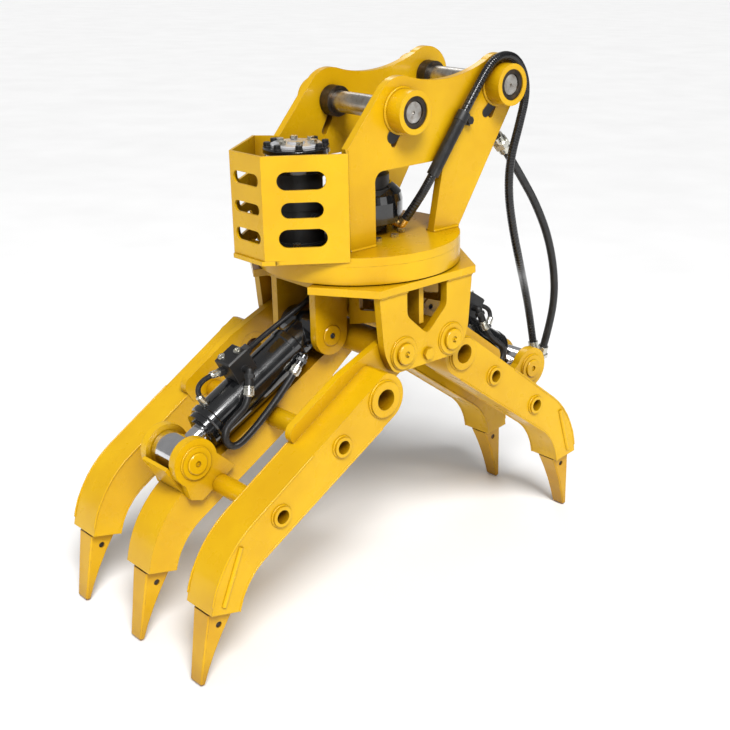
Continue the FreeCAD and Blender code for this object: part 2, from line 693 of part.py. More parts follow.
def cylinder_ears():
    """Two pairs of ears hang under the turntable and carry the base pins of the cylinders."""
    top = -BAND_H - TURNTABLE_GAP - TURNTABLE_T
    ears = []
    for way in (-1, 1):
        x = way * EAR_PIN_X
        for side in (-1, 1):
            y0, y1 = sorted((side * (EAR_OUT_Y - EAR_T), side * EAR_OUT_Y))
            steps = [("start", (x - EAR_R, top)), ("line", (x - EAR_R, EAR_PIN_Z)),
                     ("arc", (x, EAR_PIN_Z - EAR_R), (x + EAR_R, EAR_PIN_Z)),
                     ("line", (x + EAR_R, top)), ("line", (x - EAR_R, top))]
            ear = slab_y(steps, y0, y1)
            ears.append(ear.cut(across(PIN_D / 2 + RUN_GAP, x, EAR_PIN_Z, y0 - 1, y1 + 1)))
    return Part.makeCompound(ears)


def frame_web():
    """A web in two halves joins the frame plates and leaves room for the swivel."""
    top = -BAND_H - TURNTABLE_GAP - TURNTABLE_T
    half = FRAME_OUT_Y - FRAME_T
    web = block(-WEB_T / 2, WEB_T / 2, -half, half, WEB_BOTTOM_Z, top)
    return web.cut(upright(60, 0, 0, WEB_BOTTOM_Z, top))


def tie_rod():
    """A rod with a hexagon at each end holds the lower edges of the frame plates apart."""
    half = FRAME_OUT_Y - FRAME_T
    middle = across(TIE_ROD_D / 2, 0, TIE_ROD_Z, -half, half)
    shank = across(TIE_ROD_D / 2 - 5, 0, TIE_ROD_Z, -FRAME_OUT_Y, FRAME_OUT_Y)
    heads = [hexagon(26, (0, side * FRAME_OUT_Y, TIE_ROD_Z), (0, side, 0), 9) for side in (-1, 1)]
    return fuse([middle, shank] + heads)


# Jaws, drawn flat along +X and later turned to their slope

def tine_steps(inset):
    """Side outline of a tine, drawn in s and t. An inset draws the inside of its walls."""
    top, heel = TINE_TOP - inset, TINE_HEEL_R - inset
    nose_c = (NOSE_START_S, TINE_TOP - NOSE_R)
    throat_c = (TINE_WAIST_S, -TINE_WAIST - THROAT_R)
    nose_end = on_circle(nose_c, NOSE_R - inset, 90 - NOSE_TURN)
    throat_end = on_circle(throat_c, THROAT_R + inset, 90 - NOSE_TURN)
    reach = ((throat_end[0] - throat_end[1]) - (nose_end[0] - nose_end[1])) / 2 - inset * 0.7
    upper = (nose_end[0] + reach, nose_end[1] - reach)
    lower = (throat_end[0] - inset * 0.7, throat_end[1] + inset * 0.7)
    heel_s = -math.sqrt(heel ** 2 - top ** 2) if top < heel else 0.0
    return [
        ("start", (heel_s, top)), ("line", (NOSE_START_S, top)),
        ("arc", on_circle(nose_c, NOSE_R - inset, 90 - NOSE_TURN / 2), nose_end),
        ("line", upper), ("line", lower),
        ("arc", on_circle(throat_c, THROAT_R + inset, 90 - NOSE_TURN / 2),
         (TINE_WAIST_S, -TINE_WAIST + inset)),
        ("line", (0, -heel)),
        ("arc", on_circle((0, 0), heel, (270 + 180 - math.degrees(math.asin(top / heel))) / 2),
         (heel_s, top)),
    ]


def nose_middle():
    """Middle of a tine's end face."""
    steps = tine_steps(0)
    upper, lower = steps[3][1], steps[4][1]
    return (upper[0] + lower[0]) / 2, (upper[1] + lower[1]) / 2


def tang_outline(gap):
    """Side outline of the wedge that carries a tooth. With a gap it is the socket of the tooth."""
    root = TANG_DEPTH / 2 + gap
    end = root - TANG_TAPER
    length = TANG_LENGTH + gap
    return [("start", (-2, TANG_LIFT - root)), ("line", (length, TANG_LIFT - end)),
            ("line", (length, TANG_LIFT + end)), ("line", (-2, TANG_LIFT + root)),
            ("line", (-2, TANG_LIFT - root))]


def tooth_pin_hole():
    return across(TOOTH_PIN_D / 2 + RUN_GAP, TOOTH_PIN_REACH, 0, -TOOTH_HALF_W - 1, TOOTH_HALF_W + 1)


def tang(y):
    """The end of a tine has a narrow tang that the tooth slides over."""
    wedge = slab_y(tang_outline(0), -TANG_W / 2, TANG_W / 2)
    return seat_on_nose(wedge.cut(tooth_pin_hole()), y)


def seat_on_nose(solid, y):
    """Puts a shape, drawn along +X, on the end face of the tine at y."""
    s, t = nose_middle()
    solid.rotate(V(0, 0, 0), Y_AXIS, NOSE_TURN)
    solid.translate(V(s, y, t))
    return solid


def side_rib(y, side):
    """A half-round wear bar on the outer face, close to the nose."""
    start, end = V(455, y + side * TINE_W / 2, 27), V(563, y + side * TINE_W / 2, -49)
    return Part.makeCylinder(6, (end - start).Length, start, end - start)


def cross_hole_cuts(y, reach):
    return [across(SMALL_BOSS_D / 2 + RUN_GAP, s, 0, y - reach, y + reach) for s in (HOLE_2_S, HOLE_3_S)]


def arm_steps():
    """The arm plate runs from the pivot along the inner side of a tine and stands above its top."""
    lobe = (-PIVOT_TO_HOLE, 0)
    angle = tangent_angle(lobe, ARM_LOBE_R, (28, ARM_TOP - 2), 1)
    return [
        ("start", on_circle(lobe, ARM_LOBE_R, angle)), ("line", (28, ARM_TOP - 2)),
        ("line", (ARM_END_S - 26, ARM_TOP)), ("arc", (ARM_END_S - 6, ARM_TOP - 9), (ARM_END_S, ARM_TOP - 28)),
        ("line", (ARM_END_S, 20)), ("line", (60, -20)), ("line", (0, -ARM_LOBE_R)),
        ("line", (-PIVOT_TO_HOLE, -ARM_LOBE_R)),
        ("arc", on_circle(lobe, ARM_LOBE_R, (angle + 270) / 2), on_circle(lobe, ARM_LOBE_R, angle)),
    ]


def outer_tine(pitch, side, arm_y):
    """A hollow welded tine with its arm plate, tang and wear bar. The arm lies at arm_y."""
    y = side * pitch
    half = TINE_W / 2
    shell = slab_y(tine_steps(0), y - half, y + half)
    hollow = slab_y(tine_steps(TINE_WALL), y - half + TINE_WALL, y + half - TINE_WALL)
    arm = slab_y(arm_steps(), arm_y - ARM_T / 2, arm_y + ARM_T / 2)
    tine = fuse([shell, arm, side_rib(y, side)]).cut(hollow.cut(arm))
    tine = tine.fuse(tang(y))
    cuts = cross_hole_cuts(y, half + 40)
    cuts.append(across(BIG_BOSS_D / 2 + RUN_GAP, 0, 0, y - half - 40, y + half + 40))
    cuts.append(across(PIVOT_TUBE_D / 2 + RUN_GAP, -PIVOT_TO_HOLE, 0, y - 120, y + 120))
    return tine.cut(Part.makeCompound(cuts)).removeSplitter()


def middle_tine():
    """The middle tine runs up to the pivot itself and is cut low where the cylinder lies over it."""
    half = TINE_W / 2
    body = slab_y(tine_steps(0), -half, half)
    low = [("start", (-60, 14)), ("line", (300, 37)), ("line", (404, 38)), ("line", (412, TINE_TOP + 1)),
           ("line", (-60, TINE_TOP + 1)), ("line", (-60, 14))]
    body = body.cut(slab_y(low, -half - 1, half + 1))
    lobe_r = PIVOT_TUBE_D / 2 + 4
    neck = [("start", (-PIVOT_TO_HOLE, -lobe_r)), ("line", (0, -50)), ("line", (0, 17)),
            ("line", (-PIVOT_TO_HOLE + 34, 12)), ("line", (-PIVOT_TO_HOLE, 12)),
            ("line", (-PIVOT_TO_HOLE, -lobe_r))]
    neck = slab_y(neck, -half, half)
    lobe = across(lobe_r, -PIVOT_TO_HOLE, 0, -half, half)
    above = block(-40, 10, -half - 1, half + 1, 17.2, TINE_HEEL_R)
    tine = fuse([body, neck, lobe]).cut(above)
    pocket = [("start", (40, -40)), ("line", (40, 6)), ("line", (290, 22)), ("line", (400, 30)),
              ("line", (440, 20)), ("line", (440, -32)), ("line", (40, -40))]
    tine = tine.cut(slab_y(pocket, -half + TINE_WALL, half - TINE_WALL))
    tine = tine.fuse(tang(0))
    cuts = cross_hole_cuts(0, half + 10)
    cuts.append(across(PIVOT_TUBE_D / 2 + RUN_GAP, -PIVOT_TO_HOLE, 0, -half - 1, half + 1))
    return tine.cut(Part.makeCompound(cuts)).removeSplitter()


def cross_tubes(pitch):
    """Pivot tube, two long cross tubes and a short sleeve in each outer tine."""
    reach = pitch + TINE_W / 2 + BOSS_STAND
    tubes = [ring_across(PIVOT_TUBE_D / 2, PIN_D / 2 + RUN_GAP, -PIVOT_TO_HOLE, 0,
                         -PIVOT_TUBE_HALF, PIVOT_TUBE_HALF)]
    for s in (HOLE_2_S, HOLE_3_S):
        tubes.append(ring_across(SMALL_BOSS_D / 2, SMALL_HOLE_D / 2, s, 0, -reach, reach))
    for side in (-1, 1):
        y0, y1 = sorted((side * reach, side * (pitch - TINE_W / 2)))
        tubes.append(ring_across(BIG_BOSS_D / 2, BIG_HOLE_D / 2, 0, 0, y0, y1))
    return Part.makeCompound(tubes)


def tooth_section(reach, low, high, half_width):
    """An eight-sided cross-section of a tooth: a rectangle with its corners cut off."""
    cut = min(TOOTH_CORNER, (high - low) / 4)
    corners = [(-half_width + cut, low), (half_width - cut, low), (half_width, low + cut),
               (half_width, high - cut), (half_width - cut, high), (-half_width + cut, high),
               (-half_width, high - cut), (-half_width, low + cut)]
    points = [V(reach, y, z) for y, z in corners]
    return Part.makePolygon(points + points[:1])


def tooth():
    """A forged tooth along +X: a socket for the tang, a hollowed inner face and a blunt tip."""
    sections = []
    for share in (0.0, 0.25, 0.5, 0.75, 0.97):
        reach = TOOTH_GAP + share * (TOOTH_REACH - TOOTH_GAP)
        rise = share * (1 + TOOTH_HOLLOW * (1 - share))
        low = -TOOTH_HALF_DEPTH + rise * (TOOTH_HALF_DEPTH + TOOTH_TIP_IN)
        high = TOOTH_HALF_DEPTH - share * (TOOTH_HALF_DEPTH - TOOTH_TIP_OUT)
        half_width = TOOTH_HALF_W - share * (TOOTH_HALF_W - TOOTH_TIP_HALF_W)
        sections.append(tooth_section(reach, low, high, half_width))
    blunt = (TOOTH_TIP_OUT - TOOTH_TIP_IN) / 4
    sections.append(tooth_section(TOOTH_REACH, TOOTH_TIP_IN + blunt, TOOTH_TIP_OUT - blunt,
                                  TOOTH_TIP_HALF_W - TOOTH_CORNER))
    solid = Part.makeLoft(sections, True, True)
    socket = slab_y(tang_outline(0.5), -TANG_W / 2 - 0.5, TANG_W / 2 + 0.5)
    return solid.cut(socket).cut(tooth_pin_hole())


def tooth_pin():
    half = TOOTH_HALF_W - 3.5
    pin = across(TOOTH_PIN_D / 2, TOOTH_PIN_REACH, 0, -half, half)
    return pin.makeChamfer(1, [e for e in pin.Edges if e.Curve.TypeId == "Part::GeomCircle"])


def on_noses(maker, places):
    return Part.makeCompound([seat_on_nose(maker(), y) for y in places])


def rod_ears(s, t, foot_steps, extra):
    """A pair of ears with collars and the stop plate that joins them in front of the rod eye."""
    parts = []
    for side in (-1, 1):
        y0, y1 = sorted((side * ROD_EAR_IN_Y, side * (ROD_EAR_IN_Y + ROD_EAR_T)))
        eye = across(ROD_EAR_R, s, t, y0, y1)
        foot = slab_y(foot_steps, y0, y1)
        outer = side * (ROD_EAR_IN_Y + ROD_EAR_T + COLLAR_T)
        collar = across(COLLAR_D / 2, s, t, *sorted((side * (ROD_EAR_IN_Y + ROD_EAR_T - 1), outer)))
        parts += [eye, foot, collar]
    joined = fuse(parts + extra)
    hole = across(PIN_D / 2 + RUN_GAP, s, t, -100, 100)
    tube = across(SMALL_BOSS_D / 2 + RUN_GAP, HOLE_3_S, 0, -100, 100)
    return joined.cut(Part.makeCompound([hole, tube]))


def left_rod_ears():
    s, t = LEFT_ROD_S, LEFT_ROD_T
    inner = ROD_EAR_IN_Y + 1
    stop = block(s + 51, s + 60, -inner, inner, TINE_TOP, t + 30)
    foot = [("start", (s - 68, 6)), ("line", (s - 50, t - 20)), ("line", (s + 50, t - 20)),
            ("line", (s + 60, TINE_TOP - 14)), ("line", (s + 40, 6)), ("line", (s - 68, 6))]
    ears = rod_ears(s, t, foot, [stop])
    return ears


def right_rod_ears():
    """The right ears stand on a bridge between the two tines and grip the last cross tube."""
    s, t = RIGHT_ROD_S, RIGHT_ROD_T
    inner = ROD_EAR_IN_Y + 1
    stop = block(s + 51, s + 59, -inner, inner, 20, t + 18)
    half = RIGHT_PITCH - TINE_W / 2
    bridge = block(HOLE_3_S - 24, s + 59, -half, half, 24, 36)
    foot = [("start", (HOLE_3_S - 32, -14)), ("line", (s - 54, t - 12)), ("line", (s + 50, t - 20)),
            ("line", (s + 59, 24)), ("line", (HOLE_3_S + 32, -14)), ("line", (HOLE_3_S - 32, -14))]
    return rod_ears(s, t, foot, [stop, bridge])


def rod_pin(s, t):
    end = ROD_EAR_IN_Y + ROD_EAR_T + COLLAR_T + 4
    return turned_pin(s, t, end)


def hang_left(shape):
    """Turns a jaw shape from its drawing to the left jaw at rest."""
    shape.translate(V(PIVOT_TO_HOLE, 0, 0))
    shape = shape.mirror(V(0, 0, 0), V(1, 0, 0))
    shape.rotate(V(0, 0, 0), Y_AXIS, -LEFT_ANGLE)
    shape.translate(V(-JAW_PIVOT_X, 0, JAW_PIVOT_Z))
    return shape


def hang_right(shape):
    shape.translate(V(PIVOT_TO_HOLE, 0, 0))
    shape.rotate(V(0, 0, 0), Y_AXIS, RIGHT_ANGLE)
    shape.translate(V(JAW_PIVOT_X, 0, JAW_PIVOT_Z))
    return shape


# Cylinders, drawn along +X from the base pin

def rod_pin_place(s, t, angle):
    """X and Z of a rod pin seen from its jaw's side, with X growing away from the slew axis."""
    along = PIVOT_TO_HOLE + s
    x = JAW_PIVOT_X + along * math.cos(rad(angle)) + t * math.sin(rad(angle))
    z = JAW_PIVOT_Z - along * math.sin(rad(angle)) + t * math.cos(rad(angle))
    return x, z


def cylinder_line(s, t, angle):
    """Length between the pins of a cylinder and its slope below the horizontal."""
    x, z = rod_pin_place(s, t, angle)
    return math.hypot(x - EAR_PIN_X, z - EAR_PIN_Z), math.degrees(math.atan2(EAR_PIN_Z - z, x - EAR_PIN_X))


def left_length():
    """Length between the pins of the left cylinder at rest, from which its parts are cut to length."""
    return cylinder_line(LEFT_ROD_S, LEFT_ROD_T, LEFT_ANGLE)[0]


def barrel_length():
    return left_length() - ROD_EYE_D / 2 - ROD_SHOWN - GLAND_RIM - GLAND_FLANGE_T


def piston_start(length):
    """The back of the piston. Both rods are alike, so a longer cylinder has its piston further out."""
    return length - left_length() + BORE_START + PISTON_BACK_GAP


def barrel():
    """The barrel with its base eye and the ports of both hoses, bored for the piston."""
    eye = across(BASE_EYE_D / 2, 0, 0, -BASE_EYE_HALF, BASE_EYE_HALF)
    tube = cylinder(BARREL_D / 2, (20, 0, 0), (1, 0, 0), barrel_length() - 20)
    thin, thick = THIN_HOSE_ROUTE[-1], THICK_HOSE_ROUTE[-1]
    gland_port = Part.makeCylinder(11, 24, V(*thin), unit(THIN_HOSE_ROUTE[-2], thin))
    base_port = elbow(thick, THICK_HOSE_ROUTE[-2], 28, -BARREL_D / 2 + 4)
    body = fuse([eye, tube, gland_port, base_port])
    bore = cylinder(BORE_D / 2, (BORE_START, 0, 0), (1, 0, 0), barrel_length())
    return body.cut(bore).cut(across(PIN_D / 2 + RUN_GAP, 0, 0, -100, 100))


def gland():
    """The gland closes the barrel round the rod and has a flange with two flats."""
    end = barrel_length()
    flange = cylinder(GLAND_D / 2, (end, 0, 0), (1, 0, 0), GLAND_FLANGE_T)
    plug = cylinder(BORE_D / 2 - RUN_GAP, (end - GLAND_DEPTH, 0, 0), (1, 0, 0), GLAND_DEPTH)
    rim = cylinder(ROD_D / 2 + 10, (end, 0, 0), (1, 0, 0), GLAND_FLANGE_T + GLAND_RIM)
    bore = cylinder(ROD_D / 2 + RUN_GAP, (end - 60, 0, 0), (1, 0, 0), 100)
    return fuse([flange, plug, rim]).cut(bore)


def rod(length):
    """The rod with its eye at one end and a spigot for the piston at the other."""
    eye = across(ROD_EYE_D / 2, length, 0, -ROD_EYE_HALF, ROD_EYE_HALF)
    start = piston_start(length)
    shaft = cylinder(ROD_D / 2, (start, 0, 0), (1, 0, 0), length - start - 20)
    body = fuse([eye, shaft])
    thin = cylinder(ROD_D, (start - 1, 0, 0), (1, 0, 0), PISTON_T + 1)
    body = body.cut(thin.cut(cylinder(15, (start - 1, 0, 0), (1, 0, 0), PISTON_T + 1)))
    return body.cut(across(ROD_EYE_BORE / 2, length, 0, -100, 100))


def piston(length):
    """Piston with two seal grooves, and the stop tube that ends the stroke."""
    start = piston_start(length)
    disc = cylinder(BORE_D / 2 - RUN_GAP, (start, 0, 0), (1, 0, 0), PISTON_T)
    for u in (10, 26):
        band = cylinder(BORE_D, (start + u, 0, 0), (1, 0, 0), 5)
        disc = disc.cut(band.cut(cylinder(BORE_D / 2 - 4, (start + u, 0, 0), (1, 0, 0), 5)))
    disc = disc.cut(cylinder(15 + RUN_GAP, (start - 1, 0, 0), (1, 0, 0), PISTON_T + 2))
    stop = cylinder(ROD_D / 2 + 7, (start + PISTON_T, 0, 0), (1, 0, 0), STOP_TUBE_L)
    stop = stop.cut(cylinder(ROD_D / 2 + RUN_GAP, (start + PISTON_T - 1, 0, 0), (1, 0, 0), STOP_TUBE_L + 2))
    return fuse([disc, stop])


def valve_block():
    """Load-holding valve on top of the barrel, with its spool cap and the ends of both hoses."""
    low, high = BARREL_D / 2, BARREL_D / 2 + BLOCK_H
    body = block(BLOCK_START, BLOCK_START + BLOCK_L, -BLOCK_W / 2, BLOCK_W / 2, low, high)
    body = body.makeChamfer(3, [e for e in body.Edges if e.BoundBox.ZMax > high - 0.1
                                and e.BoundBox.ZLength < 0.1])
    saddle = block(BLOCK_START + 8, BLOCK_START + BLOCK_L - 8, -18, 18, low - 14, low + 1)
    saddle = saddle.cut(cylinder(BARREL_D / 2, (0, 0, 0), (1, 0, 0), barrel_length()))
    spool_cap = hexagon(24, (BLOCK_START - 16, 0, high - 20), (1, 0, 0), 17)
    way = unit(THIN_HOSE_ROUTE[0], THIN_HOSE_ROUTE[1])
    thin_nut = hexagon(20, tuple(V(*THIN_HOSE_ROUTE[0]) - way * 14), tuple(way), 14)
    thick_elbow = elbow(THICK_HOSE_ROUTE[0], THICK_HOSE_ROUTE[1], 34, -BLOCK_W / 2 + 1)
    return fuse([body, saddle, spool_cap, thin_nut, thick_elbow])


def elbow(end, after, length, root_y):
    """A bent fitting with a straight ferrule at a hose's end and its foot at the given Y."""
    way = unit(end, after)
    corner = V(*end) - way * length
    foot = V(corner.x, root_y, corner.z)
    parts = [Part.makeCylinder(9.5, length, corner, way), Part.makeSphere(9.5, corner),
             Part.makeCylinder(8, (corner - foot).Length, foot, corner - foot),
             hexagon(22, tuple(corner + way * 8), tuple(way), 9)]
    return fuse(parts)


def tangent_path(points, share=0.45):
    """A wire of straight runs joined by the largest tangent arcs that the runs allow."""
    points = [V(*p) for p in points]
    edges, radii = [], []
    here = points[0]
    for before, corner, after in zip(points, points[1:], points[2:]):
        run_in, run_out = corner - before, after - corner
        trim = share * min(run_in.Length, run_out.Length)
        turn = run_in.getAngle(run_out)
        radii.append(trim / math.tan(turn / 2))
        start = corner - run_in.normalize() * trim
        end = corner + run_out.normalize() * trim
        bisector = (start + end) * 0.5 - corner
        sagitta = radii[-1] / math.cos(turn / 2) - radii[-1]
        middle = corner + bisector.normalize() * sagitta
        edges.append(Part.LineSegment(here, start).toShape())
        edges.append(Part.Arc(start, middle, end).toShape())
        here = end
    edges.append(Part.LineSegment(here, points[-1]).toShape())
    return Part.Wire(edges), radii


def hose(name, points, diameter):
    """A hose swept along its route. Prints what the route and the sweep came out as."""
    wire, radii = tangent_path(points)
    direction = V(*points[1]) - V(*points[0])
    section = Part.Wire(Part.makeCircle(diameter / 2, V(*points[0]), direction))
    tube = wire.makePipeShell([section], True, False)
    share = tube.Volume / (math.pi * diameter ** 2 / 4 * wire.Length)
    print(name, "length", round(wire.Length), "volume share", round(share, 4))
    print("    radii", [round(r) for r in radii])
    return tube


def cylinder_hoses(side):
    """A thick hose loops beside the barrel, and a thin one arches from the block to the gland."""
    thick = hose(side + " thick hose", THICK_HOSE_ROUTE, THICK_HOSE_D)
    thin = hose(side + " thin hose", THIN_HOSE_ROUTE, THIN_HOSE_D)
    return Part.makeCompound([thick, thin])


def lay_left(shape, slope):
    shape = shape.mirror(V(0, 0, 0), V(1, 0, 0))
    shape.rotate(V(0, 0, 0), Y_AXIS, -slope)
    shape.translate(V(-EAR_PIN_X, 0, EAR_PIN_Z))
    return shape


def lay_right(shape, slope):
    shape.rotate(V(0, 0, 0), Y_AXIS, slope)
    shape.translate(V(EAR_PIN_X, 0, EAR_PIN_Z))
    return shape


# Supply hoses and their fittings

def unit(start, end):
    """Direction from one place to another."""
    return (V(*end) - V(*start)).normalize()


def oil_fittings():
    """Brass elbows that take the two hoses off the fixed half of the swivel."""
    parts = []
    side_root = on_circle((0, 0), SWIVEL_R - 7, -53)
    for route, root in ((HOSE_A_ROUTE, V(*side_root, 30)), (SWIVEL_HOSE_ROUTE, V(30, -6, SWIVEL_H + 4))):
        way = unit(route[0], route[1])
        corner = V(*route[0]) - way * 16
        arm = corner - root
        parts.append(fuse([Part.makeCylinder(9, arm.Length, root, arm), Part.makeSphere(10, corner),
                           Part.makeCylinder(10, 16, corner, way)]))
    return Part.makeCompound(parts).cut(swivel_body())


def hose_ends():
    """A swaged coupling between two hoses, and the connectors at the free ends."""
    start, end = V(*SWIVEL_HOSE_ROUTE[-1]), V(*HOSE_B_ROUTE[0])
    way = (end - start).normalize()
    length = (V(*HOSE_B_ROUTE[0]) - start).Length
    coupling = fuse([Part.makeCylinder(CONNECTOR_D / 2 + 2, length, start, way),
                     hexagon(38, tuple(start + way * (length / 2 - 8)), tuple(way), 16)])
    ends = [coupling.cut(Part.makeCylinder(6, length + 2, start - way, way))]
    for route in (HOSE_A_ROUTE, HOSE_B_ROUTE):
        way = unit(route[-2], route[-1])
        start = V(*route[-1])
        sleeve = Part.makeCylinder(CONNECTOR_D / 2, CONNECTOR_L, start, way)
        nut = hexagon(32, tuple(start + way * (CONNECTOR_L - 12)), tuple(way), 12)
        nipple = Part.makeCylinder(NIPPLE_D / 2, NIPPLE_L, start + way * CONNECTOR_L, way)
        bore = Part.makeCylinder(6, CONNECTOR_L + NIPPLE_L, start + way * 6, way)
        ends.append(fuse([sleeve, nut, nipple]).cut(bore))
    return Part.makeCompound(ends)


def hose_clamp():
    """A rubber-lined clip round the first hose, on a welded stud of the near side plate."""
    a, b = V(*HOSE_A_ROUTE[3]), V(*HOSE_A_ROUTE[4])
    middle = a + (b - a) * CLAMP_SHARE
    way = unit(HOSE_A_ROUTE[3], HOSE_A_ROUTE[4])
    ring = Part.makeCylinder(HOSE_D / 2 + 5, 24, middle - way * 12, way)
    tab = block(0, 36, -PLATE_OUT_Y - 9, -PLATE_OUT_Y, -11, 11)
    tab.rotate(V(0, 0, 0), Y_AXIS, 22)
    tab.translate(V(middle.x + 4, 0, middle.z - 2))
    bolt = hexagon(17, (middle.x + 30, -PLATE_OUT_Y - 9, middle.z - 12), (0, -1, 0), 8)
    hole = Part.makeCylinder(HOSE_D / 2 + RUN_GAP, 80, middle - way * 40, way)
    return fuse([ring, tab, bolt]).cut(hole)


def bracket_nodes():
    return {
        "near_side_plate": side_plate(-1), "far_side_plate": side_plate(1),
        "base_plate": base_plate(), "slew_skirt": slew_skirt(), "cross_plate": cross_plate(),
        "pin_bosses": pin_bosses(), "pin_bushes": pin_bushes(),
        "stick_pin": bracket_pin(STICK_PIN_X, STICK_PIN_Z), "link_pin": bracket_pin(LINK_PIN_X, LINK_PIN_Z),
        "bracket_bolts": bracket_bolts(), "motor_guard": motor_guard(),
        "motor_housing": motor_housing(), "motor_cover": motor_cover(),
        "swivel_body": swivel_body(), "oil_fittings": oil_fittings(),
        "bearing_inner_race": bearing_inner_race(), "hose_clamp": hose_clamp(), "hose_ends": hose_ends(),
        "supply_hose_a": hose("supply_hose_a", HOSE_A_ROUTE, HOSE_D),
        "supply_hose_b": hose("supply_hose_b", HOSE_B_ROUTE, HOSE_D),
        "swivel_hose": hose("swivel_hose", SWIVEL_HOSE_ROUTE, HOSE_D),
        "drive_pinion": drive_pinion(),
    }


def turntable_nodes():
    return {
        "bearing_gear_ring": bearing_gear_ring(), "bearing_rollers": bearing_rollers(),
        "turntable_plate": turntable_plate(), "near_frame_plate": frame_plate(-1),
        "far_frame_plate": frame_plate(1), "cylinder_ears": cylinder_ears(), "frame_web": frame_web(),
        "tie_rod": tie_rod(), "pivot_pins": pivot_pins(), "cylinder_pins": cylinder_pins(),
        "swivel_spool": swivel_spool(),
    }


def jaw_nodes():
    left_places = (-LEFT_PITCH, 0, LEFT_PITCH)
    right_places = (-RIGHT_PITCH, RIGHT_PITCH)
    left = {
        "near_left_tine": outer_tine(LEFT_PITCH, -1, -LEFT_ARM_Y),
        "middle_left_tine": middle_tine(),
        "far_left_tine": outer_tine(LEFT_PITCH, 1, LEFT_ARM_Y),
        "left_cross_tubes": cross_tubes(LEFT_PITCH),
        "left_teeth": on_noses(tooth, left_places),
        "left_tooth_pins": on_noses(tooth_pin, left_places),
        "left_rod_ears": left_rod_ears(), "left_rod_pin": rod_pin(LEFT_ROD_S, LEFT_ROD_T),
    }
    right = {
        "near_right_tine": outer_tine(RIGHT_PITCH, -1, -RIGHT_ARM_Y),
        "far_right_tine": outer_tine(RIGHT_PITCH, 1, RIGHT_ARM_Y),
        "right_cross_tubes": cross_tubes(RIGHT_PITCH),
        "right_teeth": on_noses(tooth, right_places),
        "right_tooth_pins": on_noses(tooth_pin, right_places),
        "right_rod_ears": right_rod_ears(), "right_rod_pin": rod_pin(RIGHT_ROD_S, RIGHT_ROD_T),
    }
    nodes = {name: hang_left(shape) for name, shape in left.items()}
    nodes.update({name: hang_right(shape) for name, shape in right.items()})
    return nodes


def cylinder_nodes():
    nodes = {}
    for side, s, t, angle, lay in (("left", LEFT_ROD_S, LEFT_ROD_T, LEFT_ANGLE, lay_left),
                                   ("right", RIGHT_ROD_S, RIGHT_ROD_T, RIGHT_ANGLE, lay_right)):
        length, slope = cylinder_line(s, t, angle)
        print(side, "cylinder length", round(length, 2), "slope", round(slope, 3))
        pieces = {"barrel": barrel(), "gland": gland(), "valve_block": valve_block(),
                  "hoses": cylinder_hoses(side), "rod": rod(length), "piston": piston(length)}
        for name, shape in pieces.items():
            nodes[side + "_" + name] = lay(shape, slope)
    return nodes


def main():
    os.makedirs("parts", exist_ok=True)
    nodes = {}
    for group in (bracket_nodes, turntable_nodes, jaw_nodes, cylinder_nodes):
        nodes.update(group())
    for name, shape in nodes.items():
        shape.translate(V(-STICK_PIN_X, 0, -STICK_PIN_Z))
        if not shape.isValid():
            print("invalid shape", name)
        shape.exportStep("parts/" + name + ".step")
    print(len(nodes), "nodes written")


main()
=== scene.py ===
# %% [markdown]
# # Finishing a scrap grapple
# The shapes of the steelwork come from a measured model. This lesson gives them their paint, metal
# and rubber, adds hoses, weld beads and grease nipples, and lights the whole like a studio photograph.
# Everything is in metres. The origin is the middle of the pin that carries the grapple.

# %% Imports and the measured model
import json
import math
import bpy
import bmesh
from mathutils import Matrix, Vector
from mathutils.geometry import delaunay_2d_cdt

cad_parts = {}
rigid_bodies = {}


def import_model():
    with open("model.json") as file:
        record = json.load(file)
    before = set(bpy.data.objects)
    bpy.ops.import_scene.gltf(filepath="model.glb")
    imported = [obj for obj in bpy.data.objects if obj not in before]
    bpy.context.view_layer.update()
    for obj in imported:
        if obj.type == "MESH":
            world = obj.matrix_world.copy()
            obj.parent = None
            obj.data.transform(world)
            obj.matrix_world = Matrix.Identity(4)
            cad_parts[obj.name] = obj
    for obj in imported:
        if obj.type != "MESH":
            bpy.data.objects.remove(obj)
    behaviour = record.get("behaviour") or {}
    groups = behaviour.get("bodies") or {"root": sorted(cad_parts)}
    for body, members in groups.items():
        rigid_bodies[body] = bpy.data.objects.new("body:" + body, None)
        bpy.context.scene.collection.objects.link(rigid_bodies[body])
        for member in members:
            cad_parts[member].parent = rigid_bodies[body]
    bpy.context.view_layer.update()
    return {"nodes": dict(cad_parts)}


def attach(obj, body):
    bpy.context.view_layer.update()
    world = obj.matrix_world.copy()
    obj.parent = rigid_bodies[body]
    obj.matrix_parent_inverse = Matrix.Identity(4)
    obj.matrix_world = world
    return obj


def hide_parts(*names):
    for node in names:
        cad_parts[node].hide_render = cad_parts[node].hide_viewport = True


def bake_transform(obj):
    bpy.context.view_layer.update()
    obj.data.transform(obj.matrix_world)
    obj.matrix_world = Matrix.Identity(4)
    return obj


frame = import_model()
NODES = frame["nodes"]

# %% [markdown]
# ## Working in millimetres about the slew axis
# The real machine turns about an upright axis, so it is easiest to think of places from there. Zero
# height is the top of the round base plate. Metres from the pin could be typed as well, but a fitter
# measures from the axis, so one short function turns such a place into metres. The jaws and their
# cylinders slope down on both hands, by the degrees below, and have functions of their own.

